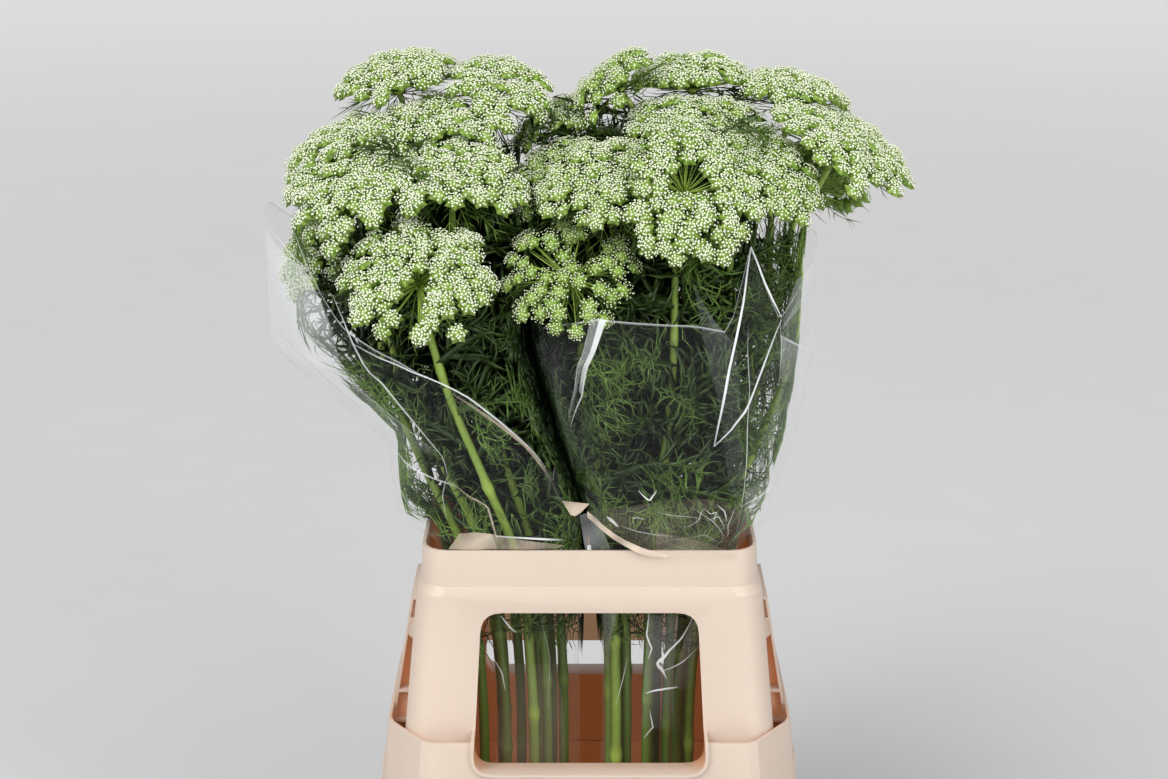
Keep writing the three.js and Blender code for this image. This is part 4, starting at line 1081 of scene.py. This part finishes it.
def folded_flap(y, tint, *places):
    """A loose piece of film between two lines, with facets 3 mm deep made by triangle waves. Its tint changes in
    stripes across them, as painted sheen on the facets.
    """
    points = np.insert(np.reshape(places, (-1, 2)), 1, 0, axis=1)
    top, low = (smooth_line(line, FLAP_COLUMNS) for line in np.split(points, 2))
    down = np.linspace(0, 1, FLAP_ROWS)[:, None, None]
    points = top * (1 - down) + low * down
    x, z = points[..., 0], points[..., 2]
    points[..., 1] = y + 1.5 * (tent((x + 0.8 * z) / 23) + tent((x - 1.3 * z) / 31) - 1)
    return grid_part(points, tint * (0.6 + 0.6 * tent((x * 0.7 - z) / 17)))


sleeves = [make_sleeve(bunch) for bunch in SLEEVE_FORM]
print("sleeves:", [triangle_count(sleeve) for sleeve in sleeves], "triangles")


# %% [markdown]
# ## Plastic and water
# The collar and the bucket are moulded in a peach-coloured plastic that has gone slightly dull with use,
# with scuffs and specks. Its thin walls let some daylight through, and light bounces inside, so the inner
# faces get a painted glow in a warm brown: their tint mixes in a deeper colour and a little emission, less of it up
# at the rim.

# %% Plastic material


def plastic_material(name, base, roughness, light_through=(214, 128, 70), strength=0.16):
    """Peach plastic: mottled colour, a few dark specks, a fine moulded grain, and a painted glow on inner faces."""
    material, tree, shader, place = new_material(name)
    mask = use_group(tree, mottle, place, Coarse=5.0, Fine=60.0)
    tone = ramp(tree, mask, (0.3, tuple(0.93 * v for v in base)), (0.9, base))
    specks = add_node(tree, "TexVoronoi", Vector=place, Scale=90.0, Randomness=1.0).outputs["Distance"]
    rare = add_node(tree, "TexNoise", Vector=place, Scale=7.0).outputs[0]
    speck = calc(tree, "MULTIPLY", calc(tree, "LESS_THAN", specks, 0.045), calc(tree, "GREATER_THAN", rare, 0.6))
    glow = calc(tree, "MULTIPLY", tint_of(tree), 0.85)
    walls = mix(tree, glow, tone, colour(206, 140, 92))
    feed(tree, shader, Base_Color=mix(tree, calc(tree, "MULTIPLY", speck, 0.45), walls, (0.12, 0.08, 0.05)),
         Emission_Color=mix(tree, glow, (0, 0, 0), colour(*light_through)), Emission_Strength=strength,
         Normal=use_group(tree, bump, place, Scale=220.0, Strength=0.12), Roughness=roughness,
         Subsurface_Weight=0.15, Subsurface_Radius=(0.006, 0.003, 0.0015))
    return material


collar_plastic = plastic_material("collar_plastic", colour(204, 186, 170), 0.42)
# The bar gets a paler and stronger glow: painted light on a bar that lies in shade
bar_plastic = plastic_material("bar_plastic", colour(204, 186, 170), 0.42, (214, 176, 138), 0.3)
bucket_plastic = plastic_material("bucket_plastic", colour(200, 180, 162), 0.45)

# %% Moulded shells
EDGE_ROUND = 0.9
SHARP_ANGLE = math.radians(24)
FLAT_ANGLE = math.radians(0.7)
SMOOTH_ANGLE = math.radians(35)
PALER_Z = (425, 490)


def moulded(node, name, material, slot):
    """The CAD shell with its flat faces joined and its sharp edges rounded. Its tint is up to 1 on faces that
    look at the middle axis, and fades by 80% up towards the rim."""
    shell = bmesh.new()
    shell.from_mesh(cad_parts[node].data)
    bmesh.ops.remove_doubles(shell, verts=shell.verts, dist=0.01 * MM)
    bmesh.ops.dissolve_limit(shell, angle_limit=FLAT_ANGLE, verts=shell.verts, edges=shell.edges)
    sharp = [edge for edge in shell.edges if edge.is_manifold and edge.calc_face_angle(0) > SHARP_ANGLE]
    bmesh.ops.bevel(shell, geom=sharp, offset=EDGE_ROUND * MM, offset_type="OFFSET", segments=2, profile=0.5,
                    affect="EDGES", clamp_overlap=True)
    bmesh.ops.triangulate(shell, faces=[face for face in shell.faces if len(face.verts) > 4])
    mesh = bpy.data.meshes.new(name)
    shell.normal_update()
    x, y, z = np.array([v.co[:] for v in shell.verts]).T
    normal_x, normal_y, _ = np.array([v.normal[:] for v in shell.verts]).T
    inward = -(normal_x * x + normal_y * y) / np.maximum(np.hypot(x, y), 0.01)
    shell.to_mesh(mesh)
    shell.free()
    mesh.polygons.foreach_set("use_smooth", np.ones(len(mesh.polygons), bool))
    mesh.set_sharp_from_angle(angle=SMOOTH_ANGLE)
    tints = np.clip(1.5 * inward * (1 - 0.8 * smoothstep(z / MM, *PALER_Z)), 0, 1)
    return place_mesh(mesh, tints, material, slot, [node])


shells = [moulded("collar", "collar_moulded", collar_plastic, "collar_plastic"),
          moulded("collar_bar", "bar_moulded", bar_plastic, "collar_plastic"),
          moulded("bucket", "bucket_moulded", bucket_plastic, "bucket_plastic")]
print("shells:", [triangle_count(shell) for shell in shells], "triangles")

# %% Backs of the side frames
# Each: lowest and highest z, how much its lower edge rises outwards, distance from the middle along Y, tint.
# The tint gives each plate its share of painted glow and brown shade inside the pockets
GRIP_BACKS = [(414, 433, 0, 41, 0.4), (391, 412, 8, 44.5, 0.0), (341, 402, 0, 33, 1.0), (311, 340, 0, 38, 0.65)]
# Heights and x of the collar's wall and of the frame's outer rail
GRIP_WALL = ([282.5, 458], [173, 156.5])
GRIP_RAIL = ([309, 435], [185.8, 164.8])
GRIP_BACK_THICK = 2


def grip_back(low, high, slant, y, tint, side, front):
    """A thin closed plate between the collar's wall and the frame's outer rail, with four corners in x and z."""
    outline = [(GRIP_WALL, low), (GRIP_RAIL, low + slant), (GRIP_RAIL, high), (GRIP_WALL, high)]
    points = np.array([[side * np.interp(z, *edge), front * (y - deep), z]
                       for deep in (0, GRIP_BACK_THICK) for edge, z in outline])
    faces = np.concatenate([grid_faces(2, 4)[:, ::-1], [[0, 1, 2, 3], [7, 6, 5, 4]]])
    return points, [faces if side * front < 0 else faces[:, ::-1]], tint


backs = [grip_back(*back, side, front) for back in GRIP_BACKS for side in (-1, 1) for front in (-1, 1)]
grip_backs = make_piece("grip_backs", backs, collar_plastic, "collar_plastic", ["collar"], smooth=False)
print("backs of the side frames:", triangle_count(grip_backs), "triangles")

# %% Water
water, tree, shader, place = new_material("water")
feed(tree, shader, Base_Color=colour(226, 236, 226), Roughness=0.03, IOR=1.33, Transmission_Weight=1.0,
     Normal=use_group(tree, bump, place, Scale=30.0, Strength=0.15))
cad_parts["water"].data.materials.clear()
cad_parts["water"].data.materials.append(water)
print("plastic and water:", collar_plastic.name, bucket_plastic.name, water.name)

# %% [markdown]
# ## Studio
# A plain pale floor runs far behind the object and gets lighter there: painted light, as the far floor stands
# for a backdrop lit brighter higher up. Two wide soft lights come from above in front, and a narrow one from each
# side.

# %% Floor and lights
FLOOR_RADIUS = 30
FLOOR_SIDES = 64
FLOOR_NEAR = 3.0
FLOOR_FAR = 11.0
STRIP_AIM = (0, 0, 0.6)

rim = FLOOR_RADIUS / MM * turned(np.array([1, 0, 0]), np.array([0, 1, 0]), even_turns(FLOOR_SIDES))
disc = (np.vstack([rim, np.zeros(3)]), [fan(np.arange(FLOOR_SIDES), FLOOR_SIDES)], 0.0)
floor_grey, tree, shader, place = new_material("floor_grey")
mask = use_group(tree, mottle, place, Coarse=0.6, Fine=9.0)
near_tone = ramp(tree, mask, (0.3, colour(202, 201, 200)), (0.9, colour(206, 205, 204)))
away = add_node(tree, "VectorMath", {"operation": "LENGTH"}, n0=place).outputs["Value"]
far = add_node(tree, "MapRange", {"interpolation_type": "SMOOTHSTEP"}, n0=away, n1=FLOOR_NEAR,
               n2=FLOOR_FAR).outputs[0]
# Far away the floor is painted lighter
feed(tree, shader, Base_Color=mix(tree, far, near_tone, colour(222, 221, 219)), Roughness=0.7)
floor = make_piece("floor", [disc], floor_grey)


def add_light(name, kind, energy, turn, **settings):
    """A light turned by three angles, with settings of its own."""
    data = bpy.data.lights.new(name, kind)
    data.energy = energy
    for key, value in settings.items():
        setattr(data, key, value)
    light = bpy.data.objects.new(name, data)
    light.rotation_euler = turn
    bpy.context.scene.collection.objects.link(light)
    return light


def sun_light(name, azimuth, height, strength, softness):
    """A far light as wide as a softbox: azimuth from +X and height over the floor, in degrees."""
    turn = (math.radians(90 - height), 0, math.radians(azimuth + 90))
    return add_light(name, "SUN", strength, turn, angle=math.radians(softness))


def strip_light(name, place, width, height, watts):
    """An upright softbox at a place, aimed at the foot of the flowers. Sizes are in metres."""
    x, y, z = np.subtract(STRIP_AIM, place)
    turn = (math.atan2(math.hypot(x, y), -z), 0, math.atan2(x, -y) + math.pi)
    light = add_light(name, "AREA", watts, turn, shape="RECTANGLE", size=width, size_y=height)
    light.location = place
    return light


lights = [sun_light("key", 235, 50, 1.9, 35), sun_light("fill", 305, 32, 0.9, 50),
          strip_light("strip left", (-1.4, -1.5, 1.5), 0.25, 1.4, 9),
          strip_light("strip right", (1.3, -1.7, 1.4), 0.3, 1.6, 11)]
world = bpy.data.worlds.new("studio")
world.use_nodes = True
feed(world.node_tree, world.node_tree.nodes["Background"], n0=colour(226, 228, 232), n1=0.55)
bpy.context.scene.world = world
bpy.context.scene.view_settings.view_transform = "Standard"
print("studio: floor and", len(lights), "lights")
